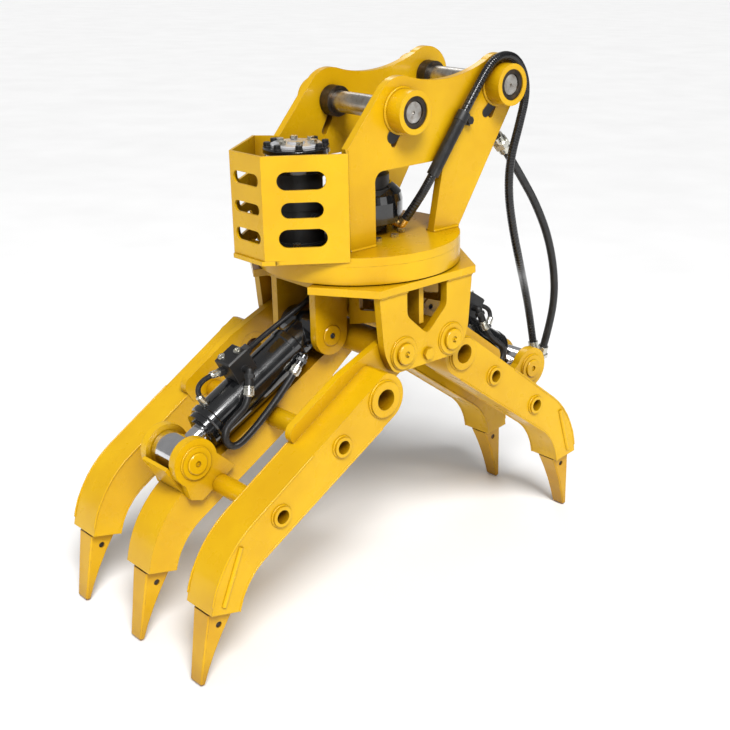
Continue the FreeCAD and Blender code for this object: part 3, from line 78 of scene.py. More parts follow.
# %% Places
STICK_PIN = (20.0, 0.0, 295.0)
LINK_PIN = (333.0, 0.0, 323.0)
JAW_PIVOT = (75.0, -227.5)
EAR_PIN = (157.0, -203.0)
PIVOT_TO_HOLE = 127.0
LEFT_SLOPE = 31.7
RIGHT_SLOPE = 37.8
LEFT_CYLINDER_SLOPE = 27.992
RIGHT_CYLINDER_SLOPE = 34.022
HANDS = ((-1, "left"), (1, "right"))
SIDES = ((-1, "near"), (1, "far"))


def place(x, y, z):
    """Millimetres about the slew axis, turned into metres about the stick pin."""
    return Vector(((x - STICK_PIN[0]) / 1000, y / 1000, (z - STICK_PIN[2]) / 1000))


def down_slope(hand, start, slope, along, up, y):
    """The point reached from start by going along a falling line and then up from it."""
    lean = math.radians(slope)
    x = start[0] + along * math.cos(lean) + up * math.sin(lean)
    z = start[1] - along * math.sin(lean) + up * math.cos(lean)
    return place(hand * x, y, z)


def on_jaw(hand, s, t, y):
    """A point of a jaw: s along the tine from its first cross hole, t up from that line."""
    slope = LEFT_SLOPE if hand < 0 else RIGHT_SLOPE
    return down_slope(hand, JAW_PIVOT, slope, PIVOT_TO_HOLE + s, t, y)


def on_cylinder(hand, u, y, v):
    """A point of a cylinder: u along it from its base pin, v up from its middle line."""
    slope = LEFT_CYLINDER_SLOPE if hand < 0 else RIGHT_CYLINDER_SLOPE
    return down_slope(hand, EAR_PIN, slope, u, v, y)


print("first cross hole of the left jaw at", [round(c, 3) for c in on_jaw(-1, 0, 0, 0)])

# %% [markdown]
# ## Small helpers for shader nodes
# A material in Blender is a little graph of nodes. It could be wired by hand in the shader editor,
# but a script is easier to read and to change. These helpers keep each graph short to write, so that
# a finish reads like a recipe: a colour, a texture that varies it, and a bump for its surface.

# %% New materials and nodes
def new_material(name):
    material = bpy.data.materials.new(name)
    material.use_nodes = True
    tree = material.node_tree
    return material, tree, tree.nodes["Principled BSDF"]


def add(tree, kind, **values):
    """A new node. Each value goes into the socket of that name, or else into the node's own setting."""
    node = tree.nodes.new(kind)
    for key, value in values.items():
        if key in node.inputs:
            node.inputs[key].default_value = value
        else:
            setattr(node, key, value)
    return node


def grey(value):
    return (value, value, value)


print("light grey is", grey(0.9))

# %% [markdown]
# Noise gives a value that wanders over the surface. A ramp turns such a value into a colour or a
# grey, and a mix node lays one colour over another. Image textures could do the same, but noise has
# no seams, needs no unwrapping and stays sharp from close by.

# %% Noise, ramps and mixes
def noise(tree, scale, detail=4.0, rough=0.55, stretch=None):
    """Noise in the object's own space, in metres. Returns the socket with the value."""
    source = add(tree, "ShaderNodeTexCoord").outputs["Object"]
    texture = add(tree, "ShaderNodeTexNoise", Scale=scale, Detail=detail, Roughness=rough)
    if stretch:
        mapping = add(tree, "ShaderNodeMapping", Scale=stretch)
        tree.links.new(source, mapping.inputs["Vector"])
        source = mapping.outputs["Vector"]
    tree.links.new(source, texture.inputs["Vector"])
    return texture.outputs["Fac"]


def ramp(tree, value, stops):
    """Turns a value into a colour or a grey. A stop is a position with a colour."""
    node = add(tree, "ShaderNodeValToRGB")
    tree.links.new(value, node.inputs["Fac"])
    for element, (position, colour) in zip(node.color_ramp.elements, stops):
        element.position = position
        element.color = (*colour, 1)
    return node.outputs["Color"]


def mix(tree, factor, first, second, blend="MIX"):
    """Lays the second colour over the first. Each of the three may be a socket or a plain value."""
    node = add(tree, "ShaderNodeMix", data_type="RGBA", blend_type=blend)
    for socket, value in ((node.inputs[0], factor), (node.inputs[6], first), (node.inputs[7], second)):
        if isinstance(value, bpy.types.NodeSocket):
            tree.links.new(value, socket)
        elif isinstance(value, float):
            socket.default_value = value
        else:
            socket.default_value = (*value, 1)
    return node.outputs[2]


print("noise, ramp and mix are ready")

# %% [markdown]
# Paint wears on sharp edges first, and real corners are never quite sharp. Both effects come from the
# bevel node, which bends the normal near an edge: the bend shows where the edge is, and the bent
# normal catches light as a rounded corner does. It needs no extra faces and works on any mesh.

# %% Edges and relief
def edge_mask(tree, radius, start, end):
    """White on sharp edges, by how far the bevel node bends the normal there."""
    bevel = add(tree, "ShaderNodeBevel", samples=4, Radius=radius)
    geometry = add(tree, "ShaderNodeNewGeometry")
    dot = add(tree, "ShaderNodeVectorMath", operation="DOT_PRODUCT")
    tree.links.new(bevel.outputs["Normal"], dot.inputs[0])
    tree.links.new(geometry.outputs["Normal"], dot.inputs[1])
    remap = add(tree, "ShaderNodeMapRange")
    remap.inputs["From Min"].default_value = start
    remap.inputs["From Max"].default_value = end
    tree.links.new(dot.outputs["Value"], remap.inputs["Value"])
    return remap.outputs["Result"]


def relief(tree, shader, height, strength, distance, round_edges=0.0):
    """Bump from a height value, with sharp corners rounded by round_edges if that is given."""
    bump = add(tree, "ShaderNodeBump", Strength=strength, Distance=distance)
    tree.links.new(height, bump.inputs["Height"])
    if round_edges:
        bevel = add(tree, "ShaderNodeBevel", samples=4, Radius=round_edges)
        tree.links.new(bevel.outputs["Normal"], bump.inputs["Normal"])
    tree.links.new(bump.outputs["Normal"], shader.inputs["Normal"])


print("edge mask and relief are ready")

# %% [markdown]
# ## Yellow enamel
# Thick two-pack paint on welded plate is glossy but never flat: it has a fine orange-peel bump, the
# colour deepens in patches, and it thins to a brown line on sharp edges. Nooks get little light, so the
# ambient occlusion node browns them as painted shade. A coat layer on top gives the second,
# sharper highlight that fresh enamel has. A single glossy colour would look like plastic.

# %% Yellow enamel
YELLOW = (0.69, 0.405, 0.003)
DEEP_YELLOW = (0.61, 0.335, 0.002)
EDGE_BROWN = (0.20, 0.09, 0.02)
TOOTH_YELLOW = (0.66, 0.37, 0.004)
DEEP_TOOTH_YELLOW = (0.52, 0.26, 0.004)
TOOTH_EDGE = (0.16, 0.08, 0.03)
# Painted shade: the brown that ambient occlusion lays into nooks, and how far it looks for them.
NOOK_SHADE_BROWN = (0.30, 0.22, 0.18)
NOOK_SHADE_REACH = 0.16


def enamel(name, colour, deep, edge_colour, edge_amount, roughness):
    material, tree, shader = new_material(name)
    body = ramp(tree, noise(tree, 7.0, 3.0), [(0.35, colour), (0.72, deep)])
    worn = edge_mask(tree, 0.0022, 0.985, 0.90)
    breaks = ramp(tree, noise(tree, 38.0, 5.0), [(0.42, grey(0.0)), (0.62, grey(edge_amount))])
    coloured = mix(tree, mix(tree, worn, grey(0.0), breaks), body, edge_colour)
    # Painted shade: the base colour is browned where ambient occlusion finds nooks and corners.
    nook_shade_occlusion = add(tree, "ShaderNodeAmbientOcclusion", Distance=NOOK_SHADE_REACH, samples=6)
    shade = ramp(tree, nook_shade_occlusion.outputs["AO"], [(0.18, NOOK_SHADE_BROWN), (0.80, grey(1.0))])
    tree.links.new(mix(tree, 1.0, coloured, shade, "MULTIPLY"), shader.inputs["Base Color"])
    gloss = ramp(tree, noise(tree, 16.0, 4.0), [(0.3, grey(roughness)), (0.8, grey(roughness + 0.14))])
    tree.links.new(gloss, shader.inputs["Roughness"])
    shader.inputs["Specular IOR Level"].default_value = 0.22
    shader.inputs["Coat Weight"].default_value = 0.22
    shader.inputs["Coat Roughness"].default_value = 0.10
    relief(tree, shader, noise(tree, 420.0, 2.0), 0.10, 0.0008, 0.0016)
    return material


yellow = enamel("yellow enamel", YELLOW, DEEP_YELLOW, EDGE_BROWN, 0.55, 0.24)
tooth_yellow = enamel("tooth enamel", TOOTH_YELLOW, DEEP_TOOTH_YELLOW, TOOTH_EDGE, 1.0, 0.34)
print("enamel:", yellow.name, "and", tooth_yellow.name)

# %% [markdown]
# ## Black cylinder paint and black castings
# The cylinders are sprayed in gloss black, so they read as dark mirrors with long highlights. The
# valve blocks and the motor are castings or phosphated steel. All are one recipe with other numbers:
# a near-black that varies a little, greyer edges, and a grainy bump that is coarse on a casting.

# %% Blacks
def black(name, colour, roughness, grain, strength, coat):
    material, tree, shader = new_material(name)
    body = ramp(tree, noise(tree, 11.0, 3.0), [(0.3, colour), (0.75, tuple(c * 1.9 for c in colour))])
    edge = edge_mask(tree, 0.0015, 0.98, 0.90)
    tree.links.new(mix(tree, edge, body, grey(0.07)), shader.inputs["Base Color"])
    gloss = ramp(tree, noise(tree, 24.0), [(0.3, grey(roughness)), (0.8, grey(roughness + 0.16))])
    tree.links.new(gloss, shader.inputs["Roughness"])
    shader.inputs["Coat Weight"].default_value = coat
    shader.inputs["Coat Roughness"].default_value = 0.05
    relief(tree, shader, noise(tree, grain, 3.0), strength, 0.0006, 0.0012)
    return material


black_paint = black("black cylinder paint", (0.003, 0.0032, 0.0036), 0.12, 300.0, 0.05, 1.0)
black_cast = black("black casting", (0.005, 0.005, 0.0052), 0.42, 900.0, 0.35, 0.0)
# Painted reflection: a light grey that stands in for the bright reflection on the motor head's glossy top.
motor_top_reflection = black("machined motor top", (0.34, 0.34, 0.35), 0.18, 500.0, 0.05, 0.6)
print("blacks:", black_paint.name, black_cast.name, "and the motor's", motor_top_reflection.name)

# %% [markdown]
# ## Metals
# One function makes every bare metal, as metals differ less in kind than in their numbers. What sets
# them apart is the colour, the roughness and which way the tool marks run: the noise is squeezed
# along one axis, so that marks run round a turned pin and along a chromed rod.

# %% Metals
def metal(name, colour, dark, roughness, stretch, strength, stain=0.0, stain_colour=(0.2, 0.12, 0.06)):
    material, tree, shader = new_material(name)
    shader.inputs["Metallic"].default_value = 1.0
    body = ramp(tree, noise(tree, 30.0, 5.0), [(0.3, dark), (0.7, colour)])
    spots = ramp(tree, noise(tree, 70.0, 6.0), [(0.5, grey(0.0)), (0.7, grey(stain))])
    tree.links.new(mix(tree, spots, body, stain_colour), shader.inputs["Base Color"])
    marks = noise(tree, 60.0, 2.0, 0.5, stretch)
    gloss = ramp(tree, marks, [(0.3, grey(roughness)), (0.7, grey(roughness + 0.15))])
    tree.links.new(gloss, shader.inputs["Roughness"])
    relief(tree, shader, marks, strength, 0.0004, 0.0008)
    return material


turned = metal("turned steel", (0.66, 0.64, 0.60), (0.40, 0.38, 0.35), 0.26, (1, 30, 1), 0.25, 0.5)
hardened = metal("hardened bush", (0.10, 0.085, 0.07), (0.05, 0.045, 0.04), 0.42, (1, 20, 1), 0.2, 0.6)
chrome = metal("hard chrome", (0.86, 0.86, 0.87), (0.74, 0.74, 0.76), 0.06, (1, 1, 20), 0.05)
zinc = metal("zinc plate", (0.78, 0.77, 0.70), (0.58, 0.57, 0.50), 0.22, (4, 4, 4), 0.12, 0.2,
             (0.5, 0.45, 0.3))
brass = metal("brass", (0.82, 0.60, 0.24), (0.62, 0.42, 0.15), 0.24, (4, 4, 4), 0.12)
bronze = metal("bearing bronze", (0.60, 0.36, 0.18), (0.42, 0.24, 0.11), 0.3, (1, 20, 1), 0.15)
gear_steel = metal("gear steel", (0.50, 0.49, 0.47), (0.32, 0.31, 0.30), 0.34, (8, 8, 1), 0.2, 0.4)
print("metals:", ", ".join(m.name for m in (turned, hardened, chrome, zinc, brass, bronze, gear_steel)))

# %% [markdown]
# ## Hose rubber
# Hose covers are matt with a faint cloth wrap from the curing tape. The first hose is also wound in
# a smooth spiral guard, so it shines in short bands. A spiral could be modelled turn by turn, but at
# this size a wave texture is enough. It follows the hose, because a curve's own UV runs along it.

# %% Rubber
def rubber(name, bands, depth, roughness, colour=(0.006, 0.006, 0.0065)):
    material, tree, shader = new_material(name)
    coords = add(tree, "ShaderNodeTexCoord")
    wave = add(tree, "ShaderNodeTexWave", Scale=bands, Distortion=0.4, bands_direction="X")
    tree.links.new(coords.outputs["UV"], wave.inputs["Vector"])
    dust = ramp(tree, noise(tree, 60.0, 5.0), [(0.4, colour), (0.8, tuple(c * 2.6 for c in colour))])
    tree.links.new(dust, shader.inputs["Base Color"])
    gloss = ramp(tree, wave.outputs["Fac"], [(0.2, grey(roughness)), (0.9, grey(roughness + 0.12))])
    tree.links.new(gloss, shader.inputs["Roughness"])
    relief(tree, shader, wave.outputs["Fac"], 0.6, depth)
    return material


guarded_rubber = rubber("guarded hose", 62.0, 0.0007, 0.16)
plain_rubber = rubber("hose cover", 90.0, 0.0003, 0.34)
print("rubber:", guarded_rubber.name, "and", plain_rubber.name)

# %% [markdown]
# ## Giving each measured node its finish
# Most of a grapple is painted steelwork, so every node first gets the yellow enamel. The exceptions
# are listed by finish, which is shorter than a long table of nodes and shows at a glance what is black
# and what is bare metal.

# %% Finishes of the measured nodes
FINISHES = {
    black_paint: ("left_barrel", "right_barrel", "left_gland", "right_gland"),
    black_cast: ("motor_housing", "motor_cover", "swivel_body", "left_valve_block", "right_valve_block",
                 "hose_clamp"),
    chrome: ("left_rod", "right_rod"),
    turned: ("stick_pin", "link_pin"),
    hardened: ("pin_bushes", "left_tooth_pins", "right_tooth_pins"),
    zinc: ("bracket_bolts", "hose_ends"),
    brass: ("oil_fittings",),
    bronze: ("left_piston", "right_piston"),
    gear_steel: ("bearing_gear_ring", "bearing_inner_race", "bearing_rollers", "drive_pinion",
                 "swivel_spool"),
    tooth_yellow: ("left_teeth", "right_teeth"),
}


def paint(obj, material):
    if not obj.material_slots:
        obj.data.materials.append(material)
    for item in obj.material_slots:
        item.material = material


for obj in NODES.values():
    paint(obj, yellow)
for material, names in FINISHES.items():
    for name in names:
        paint(NODES[name], material)
print("finished", len(NODES), "nodes,", sum(len(n) for n in FINISHES.values()), "of them not yellow")

# %% [markdown]
# ## The camera
# The photograph was taken from the left front, a little above, with a short telephoto lens. The
# place and angles below were found by matching edges of the plates and pins in the picture. A camera
# looks down its own minus Z, so the matrix is built from the way back, the way right and the way up.

# %% Camera
CAMERA_AT = (-1890.2, -2190.2, 729.4)
CAMERA_AZIMUTH = -40.966
CAMERA_ELEVATION = 20.237
CAMERA_ROLL = -1.208
CAMERA_LENS = 61.8
FILM_WIDTH = 36


def new_object(name, data):
    """Puts a mesh, curve, lamp or camera into the scene under a name."""
    piece = bpy.data.objects.new(name, data)
    bpy.context.collection.objects.link(piece)
    return piece


def camera_matrix(azimuth, elevation, roll):
    ca, sa = math.cos(math.radians(azimuth)), math.sin(math.radians(azimuth))
    ce, se = math.cos(math.radians(elevation)), math.sin(math.radians(elevation))
    back = Vector((sa * ce, -ca * ce, se))
    right = Vector((ca, sa, 0))
    up = back.cross(right)
    cr, sr = math.cos(math.radians(roll)), math.sin(math.radians(roll))
    columns = (cr * right + sr * up, -sr * right + cr * up, back)
    return Matrix([[c[i] for c in columns] for i in range(3)])


camera_data = bpy.data.cameras.new("camera")
camera_data.lens = CAMERA_LENS
camera_data.sensor_width = FILM_WIDTH
camera = new_object("camera", camera_data)
turn = camera_matrix(CAMERA_AZIMUTH, CAMERA_ELEVATION, CAMERA_ROLL)
camera.matrix_world = Matrix.Translation(place(*CAMERA_AT)) @ turn.to_4x4()
bpy.context.scene.camera = camera
print("camera at", [round(c, 3) for c in camera.location], "lens", camera_data.lens)

# %% [markdown]
# ## Drawing a hose
# A hose is a NURBS curve with a round bevel. A chain of cylinders would show its joints, while such a
# curve bends evenly between its points, as a hose does. Its true length is measured on a copy that
# has no thickness, because a buyer of the hose needs that number.

# %% Hose builder
HOSE_D = 0.021


def hose_curve(name, points, diameter, material):
    data = bpy.data.curves.new(name, "CURVE")
    data.dimensions = "3D"
    data.bevel_depth = diameter / 2
    data.bevel_resolution = 6
    data.resolution_u = 12
    spline = data.splines.new("NURBS")
    spline.points.add(len(points) - 1)
    for item, point in zip(spline.points, points):
        item.co = (*point, 1)
    spline.order_u = 3
    spline.use_endpoint_u = True
    piece = new_object(name, data)
    data.materials.append(material)
    return piece


def curve_length(piece):
    """Length of the hose's own line, read from a copy of the curve without its thickness."""
    data = piece.data.copy()
    data.bevel_depth = 0
    probe = new_object("probe", data)
    bpy.context.view_layer.update()
    corners = [v.co.copy() for v in bpy.data.meshes.new_from_object(probe).vertices]
    bpy.data.objects.remove(probe)
    return sum((b - a).length for a, b in zip(corners, corners[1:]))


print("supply hoses are", HOSE_D * 1000, "mm thick")

# %% [markdown]
# ## Supply hoses
# Two hoses bring oil from the excavator and hang beside the grapple, and a short one feeds the second.
# The control points are chosen like the pins round which a fitter would lay the hose: off the
# swivel, through the plate's window, up over the link pin's boss and down behind the right jaw. Each
# cord's real length is printed.

# %% Supply hoses
HOSE_A = [(0.044, -0.095, -0.259), (0.060, -0.124, -0.211), (0.084, -0.142, -0.159),
          (0.130, -0.147, -0.092), (0.226, -0.147, 0.030), (0.283, -0.147, 0.093), (0.347, -0.149, 0.092),
          (0.383, -0.151, 0.047), (0.391, -0.151, -0.007), (0.372, -0.148, -0.076), (0.350, -0.142, -0.154),
          (0.355, -0.132, -0.235), (0.391, -0.115, -0.333), (0.458, -0.085, -0.456),
          (0.570, 0.002, -0.538), (0.620, 0.030, -0.612), (0.652, 0.044, -0.682), (0.657, 0.036, -0.745)]
HOSE_B = [(0.382, -0.095, -0.145), (0.408, -0.095, -0.176), (0.461, -0.083, -0.230),
          (0.522, -0.076, -0.303), (0.585, -0.068, -0.403), (0.628, -0.057, -0.509),
          (0.649, -0.044, -0.602), (0.655, -0.020, -0.697), (0.654, -0.006, -0.747)]
SWIVEL_HOSE = [(0.032, -0.020, -0.127), (0.085, -0.038, -0.067), (0.180, -0.066, -0.043),
               (0.250, -0.084, -0.050), (0.313, -0.095, -0.064), (0.348, -0.095, -0.105)]


def supply_hose(name, points, material):
    piece = hose_curve(name + "_line", points, HOSE_D, material)
    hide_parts(name)
    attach(piece, "upper_bracket")
    length = curve_length(piece)
    print(name, "is", round(length, 3), "m long")


supply_hose("supply_hose_a", HOSE_A, guarded_rubber)
supply_hose("supply_hose_b", HOSE_B, plain_rubber)
supply_hose("swivel_hose", SWIVEL_HOSE, plain_rubber)

# %% [markdown]
# ## Hoses on the cylinders
# Each cylinder carries two more. A thick one leaves the valve block, makes a tight loop beside the
# barrel and comes back to the base port. A thin one arches from the block to the gland. Both are
# written in the cylinder's own directions, so the same points serve the left and the right one.

# %% Cylinder hoses
THICK_D = 0.017
THIN_D = 0.012
THICK_ROUTE = [(230, -56, 42), (256, -66, 17), (296, -67, 13), (336, -67, 10), (353, -67, -20),
               (336, -66, -50), (280, -66, -48), (212, -66, -36), (152, -67, -20), (105, -63, -8)]
THIN_ROUTE = [(248, 10, 78), (276, 12, 90), (308, 9, 92), (322, 4, 74), (319, 0, 52)]
CYLINDER_HOSES = (("thick", THICK_ROUTE, THICK_D), ("thin", THIN_ROUTE, THIN_D))

for hand, word in HANDS:
    for kind, route, diameter in CYLINDER_HOSES:
        points = [on_cylinder(hand, *p) for p in route]
        piece = hose_curve(f"{word}_{kind}_hose", points, diameter, plain_rubber)
        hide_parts(word + "_hoses")
        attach(piece, word + "_barrel")
        length = curve_length(piece)
        print(piece.name, round(length, 3), "m")

# %% [markdown]
# ## Plates cut from flat outlines
# A flame cutter follows one outline for the edge of a plate and one for each hole. The same is done
# here with rings of points, written as lists rather than drawn by hand, so that every number can be
# read and changed. There are three kinds of ring: corners that get an arc, as a torch leaves them, a
# round one, and a bar with round ends.

# %% Rings of points
ARC_STEPS = 8


def rounded(corners):
    """Replaces every corner (a, b, size) by a small arc whose legs are size long."""
    result = []
    for i, (a, b, size) in enumerate(corners):
        here = Vector((a, b))
        if size == 0:
            result.append(here)
            continue
        before = (Vector(corners[i - 1][:2]) - here).normalized()
        after = (Vector(corners[(i + 1) % len(corners)][:2]) - here).normalized()
        for k in range(ARC_STEPS + 1):
            f = k / ARC_STEPS
            result.append(here + before * size * (1 - f) ** 2 + after * size * f ** 2)
    return result


def disc(centre, radius, steps=48):
    """A round ring."""
    return [Vector((centre[0] + radius * math.cos(2 * math.pi * i / steps),
                    centre[1] + radius * math.sin(2 * math.pi * i / steps))) for i in range(steps)]


def bar_ring(start, end, radius, steps=12):
    """The outline of a flat bar with round ends."""
    start, end = Vector(start), Vector(end)
    heading = math.atan2(end.y - start.y, end.x - start.x)
    ring = [end + radius * Vector((math.cos(heading + a), math.sin(heading + a)))
            for a in (math.pi * (k / steps - 0.5) for k in range(steps + 1))]
    return ring + [start + radius * Vector((math.cos(heading + a), math.sin(heading + a)))
                   for a in (math.pi * (k / steps + 0.5) for k in range(steps + 1))]


print("a round hole has", len(disc((0, 0), 10)), "corners")

# %% [markdown]
# A constrained triangulation then fills the flat shape without crossing any ring, and only triangles
# inside the steel are kept. One modifier gives the plate its thickness and another grinds the edges.
# Boolean cuts would also make holes, but they leave long thin faces that spoil the shading.

# %% Plate cutter
EDGE = 0.0007
TURN_TO = {"x": Matrix(((0, 0, 1), (1, 0, 0), (0, 1, 0))),
           "y": Matrix(((1, 0, 0), (0, 0, -1), (0, 1, 0))),
           "z": Matrix.Identity(3)}


def inside(point, corners, edges):
    """Whether a ray to the right of the point crosses the rings an odd number of times."""
    odd = False
    for a, b in ((corners[i], corners[k]) for i, k in edges):
        if (a.y > point.y) != (b.y > point.y):
            odd ^= point.x < a.x + (point.y - a.y) * (b.x - a.x) / (b.y - a.y)
    return odd


def cut_plate(name, rings, facing, middle, thickness, body, material=yellow):
    """A plate from rings in millimetres: the first is the outer edge and the others are holes."""
    corners = [Vector(corner) / 1000 for ring in rings for corner in ring]
    edges = []
    for ring in rings:
        start = len(edges)
        edges += [(start + i, start + (i + 1) % len(ring)) for i in range(len(ring))]
    flat, _, triangles, *_ = delaunay_2d_cdt(corners, edges, [], 0, 0.00001)
    kept = [t for t in triangles if inside(sum((flat[i] for i in t), Vector((0, 0))) / 3, corners, edges)]
    centre = place(*(middle if axis == facing else 0 for axis in "xyz"))
    mesh = bpy.data.meshes.new(name)
    mesh.from_pydata([centre + TURN_TO[facing] @ Vector((v.x, v.y, 0)) for v in flat], [], kept)
    mesh.materials.append(material)
    piece = new_object(name, mesh)
    depth = piece.modifiers.new("thickness", "SOLIDIFY")
    depth.thickness = thickness / 1000
    depth.offset = 0
    bevel = piece.modifiers.new("ground edges", "BEVEL")
    bevel.width = EDGE
    bevel.segments = 2
    bevel.limit_method = "ANGLE"
    bevel.angle_limit = math.radians(40)
    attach(piece, body)
    return piece


print("plates have an edge bevel of", EDGE * 1000, "mm")

# %% [markdown]
# ## Jaw frame plates
# Two shield-shaped plates hang under the turntable and carry the jaw pivots. Each has a five-sided
# window and a thick collar round each pivot hole. The measured plates are narrower in the waist than
# the real ones, so plates cut to the right shield shape take their place.

# %% Jaw frame plates
FRAME_OUT = 233.5
FRAME_IN = 213.5
PLATE_UNDER = -83.0
PIVOT_HOLE_R = 25.1
COLLAR_R = 37
COLLAR_THICK = 6
SHIELD = rounded([(-145, PLATE_UNDER, 0), (-132, -222, 26), (-104, -271, 20), (104, -271, 20),
                  (132, -222, 26), (145, PLATE_UNDER, 0)])
WINDOW = rounded([(-62, -84.5, 0), (62, -84.5, 0), (62, -143, 12), (6, -194, 10), (-6, -194, 10),
                  (-62, -143, 12)])

for side, word in SIDES:
    centres = [(hand * JAW_PIVOT[0], JAW_PIVOT[1]) for hand, _ in HANDS]
    holes = [disc(centre, PIVOT_HOLE_R) for centre in centres]
    shield = cut_plate(f"{word}_frame_shield", [SHIELD, WINDOW, *holes], "y",
                       side * (FRAME_OUT + FRAME_IN) / 2, FRAME_OUT - FRAME_IN, "turntable")
    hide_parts(f"{word}_frame_plate")
    for (_, label), centre, hole in zip(HANDS, centres, holes):
        cut_plate(f"collar_{word}_{label}", [disc(centre, COLLAR_R), hole], "y",
                  side * (FRAME_OUT + COLLAR_THICK / 2), COLLAR_THICK, "turntable")
print("two shields of", len(SHIELD), "corners, with four collars")

# %% [markdown]
# ## Gussets and turntable plate
# Gussets tie the cylinder ears to the frame plates, each with a lightening hole. The turntable plate
# is cut back at both ends between its four wings, so the round band stands clear above the cylinders.
# Both are flat work, so the plate cutter makes them too.

# %% Gussets and turntable plate
GUSSET_X = 97
GUSSET_THICK = 12
LEFT_GUSSET = [(-80, PLATE_UNDER, 0), (-80, -188, 0), (-190, -158, 14), (-213, -150, 0),
               (-213, PLATE_UNDER, 0)]
RIGHT_GUSSET = [(-80, PLATE_UNDER, 0), (-80, -160, 0), (-213, -150, 0), (-213, PLATE_UNDER, 0)]
GUSSET_HOLE = [(-116, -104, 8), (-176, -104, 8), (-176, -134, 8), (-116, -146, 8)]
BED_MIDDLE = -74
BED_THICK = 18
BED_HOLE_R = 31
WINGS = [(-150, -240, 0), (150, -240, 0), (240, -100, 0), (205, -84, 6), (205, 84, 6), (240, 100, 0),
         (150, 240, 0), (-150, 240, 0), (-240, 100, 0), (-205, 84, 6), (-205, -84, 6), (-240, -100, 0)]


def how_many(*starts):
    """The number of pieces whose names start with one of the words."""
    return sum(piece.name.startswith(starts) for piece in bpy.data.objects)


for hand, label, corners in ((-1, "left", LEFT_GUSSET), (1, "right", RIGHT_GUSSET)):
    for side, word in SIDES:
        outer = [(-side * y, z) for y, z in rounded(corners)]
        hole = [(-side * y, z) for y, z in rounded(GUSSET_HOLE)]
        cut_plate(f"gusset_{word}_{label}", [outer, hole], "x", hand * GUSSET_X, GUSSET_THICK, "turntable")
bed = cut_plate("turntable_bed", [rounded(WINGS), disc((0, 0), BED_HOLE_R)], "z",
                BED_MIDDLE, BED_THICK, "turntable")
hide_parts("turntable_plate")
print(how_many("gusset"), "gussets and a winged plate")

# %% [markdown]
# ## Dark ovals in the side plates
# Slots under the bosses of both side plates look dark, as shade fills them. Cutting them would mean
# changing the measured plates, which stay as they are. A thin dark oval on each face is painted shade.

# %% Dark ovals in the side plates
OVAL_FACE = 131.6
OVAL_THICK = 2.4
SLOT_SHADE_OVALS = (("link", (292, 259), (322, 282), 11), ("stick", (-8, 240), (8, 254), 15))

# Each black oval is painted shade for a slot.
for side, word in SIDES:
    for label, start, end, radius in SLOT_SHADE_OVALS:
        cut_plate(f"oval_{label}_{word}", [bar_ring(start, end, radius)], "y", side * OVAL_FACE,
                  OVAL_THICK, "upper_bracket", black_cast)
print(how_many("oval"), "ovals")

# %% [markdown]
# ## Tubes made of rings
# Weld beads and small turned fittings are both rows of rings with faces between them. Blender's own
# curve bevel can't change its size from point to point as finely as a bead does, so the faces are
# built directly with bmesh, and the helpers below serve for both.

# %% Tubes from rings
def ring_at(form, middle, radius, side, up, count):
    """A ring of new corners round middle, in the plane of side and up."""
    return [form.verts.new(middle + radius * (math.cos(a) * side + math.sin(a) * up))
            for a in (2 * math.pi * k / count for k in range(count))]


def skin(form, rings, closed):
    """Faces between rings. A closed row joins its ends, and an open one gets two caps."""
    for one, two in zip(rings, rings[1:] + rings[:1] if closed else rings[1:]):
        for k in range(len(one)):
            n = (k + 1) % len(one)
            form.faces.new((one[k], one[n], two[n], two[k]))
    if not closed:
        form.faces.new(rings[0][::-1])
        form.faces.new(rings[-1])


def form_piece(name, form, material, body):
    """Turns a finished form into a painted piece that rides on a body."""
    mesh = bpy.data.meshes.new(name)
    form.to_mesh(mesh)
    form.free()
    mesh.materials.append(material)
    piece = new_object(name, mesh)
    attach(piece, body)
    return piece


print("tubes can be closed or capped")

# %% [markdown]
# ## Weld beads
# Grapples are built from flame-cut plate, so a rippled bead runs along every joint. A bump map could
# draw it, but a real bead also fills the corner. So it is a thin tube swept along a path, and its
# radius swells and shrinks every few millimetres, as the weld pool froze. The beads are painted over
# with the plate that they join.

# %% Bead builder
RIPPLE = 0.0055
RIPPLE_STEPS = 3
RIPPLE_SWELL = 0.16
BEAD_WANDER = 0.05
BEAD_SIDES = 7
BEAD_LEAN = Vector((0.3, 0.2, 0.93))


def resample(points, step):
    """Evenly spaced points along a broken line."""
    result = []
    for a, b in zip(points, points[1:]):
        count = max(1, round((b - a).length / step))
        result += [a.lerp(b, i / count) for i in range(count)]
    return result + [points[-1]]


def bead(name, points, radius, body, closed=False):
    """A rippled tube along points. Closed joins the last ring to the first."""
    path = resample(points + points[:1] if closed else points, RIPPLE / RIPPLE_STEPS)
    if closed:
        path = path[:-1]
    form = bmesh.new()
    rings = []
    count = len(path)
    for i, point in enumerate(path):
        ahead = path[(i + 1) % count] if closed else path[min(i + 1, count - 1)]
        behind = path[i - 1] if closed or i else path[0]
        along = (ahead - behind).normalized()
        side = along.cross(BEAD_LEAN).normalized()
        swell = RIPPLE_SWELL * math.cos(2 * math.pi * (i % RIPPLE_STEPS) / RIPPLE_STEPS)
        size = radius * (1 + swell + BEAD_WANDER * math.sin(i * 0.37))
        rings.append(ring_at(form, point, size, side, side.cross(along), BEAD_SIDES))
    skin(form, rings, closed)
    for face in form.faces:
        face.smooth = True
    form_piece(name, form, yellow, body)


def circle(centre, radius, y, steps=48):
    """Points of a circle about an axis along Y. The radius is in millimetres, the rest in metres."""
    return [Vector((centre.x + radius / 1000 * math.cos(2 * math.pi * i / steps), y,
                    centre.z + radius / 1000 * math.sin(2 * math.pi * i / steps))) for i in range(steps)]


print("beads have", BEAD_SIDES, "sides and a ripple of", RIPPLE * 1000, "mm")

# %% [markdown]
# The beads of the bracket go round each boss and along the feet of the side plates, inside and out,
# and up both edges of the motor guard.

# %% Beads of the bracket
BOSS_R = 49
PLATE_OUT = 131.0
PLATE_IN = 111.0
FEET = (("rear", -138, -62), ("front", 120, 201))
GUARD_X = -141

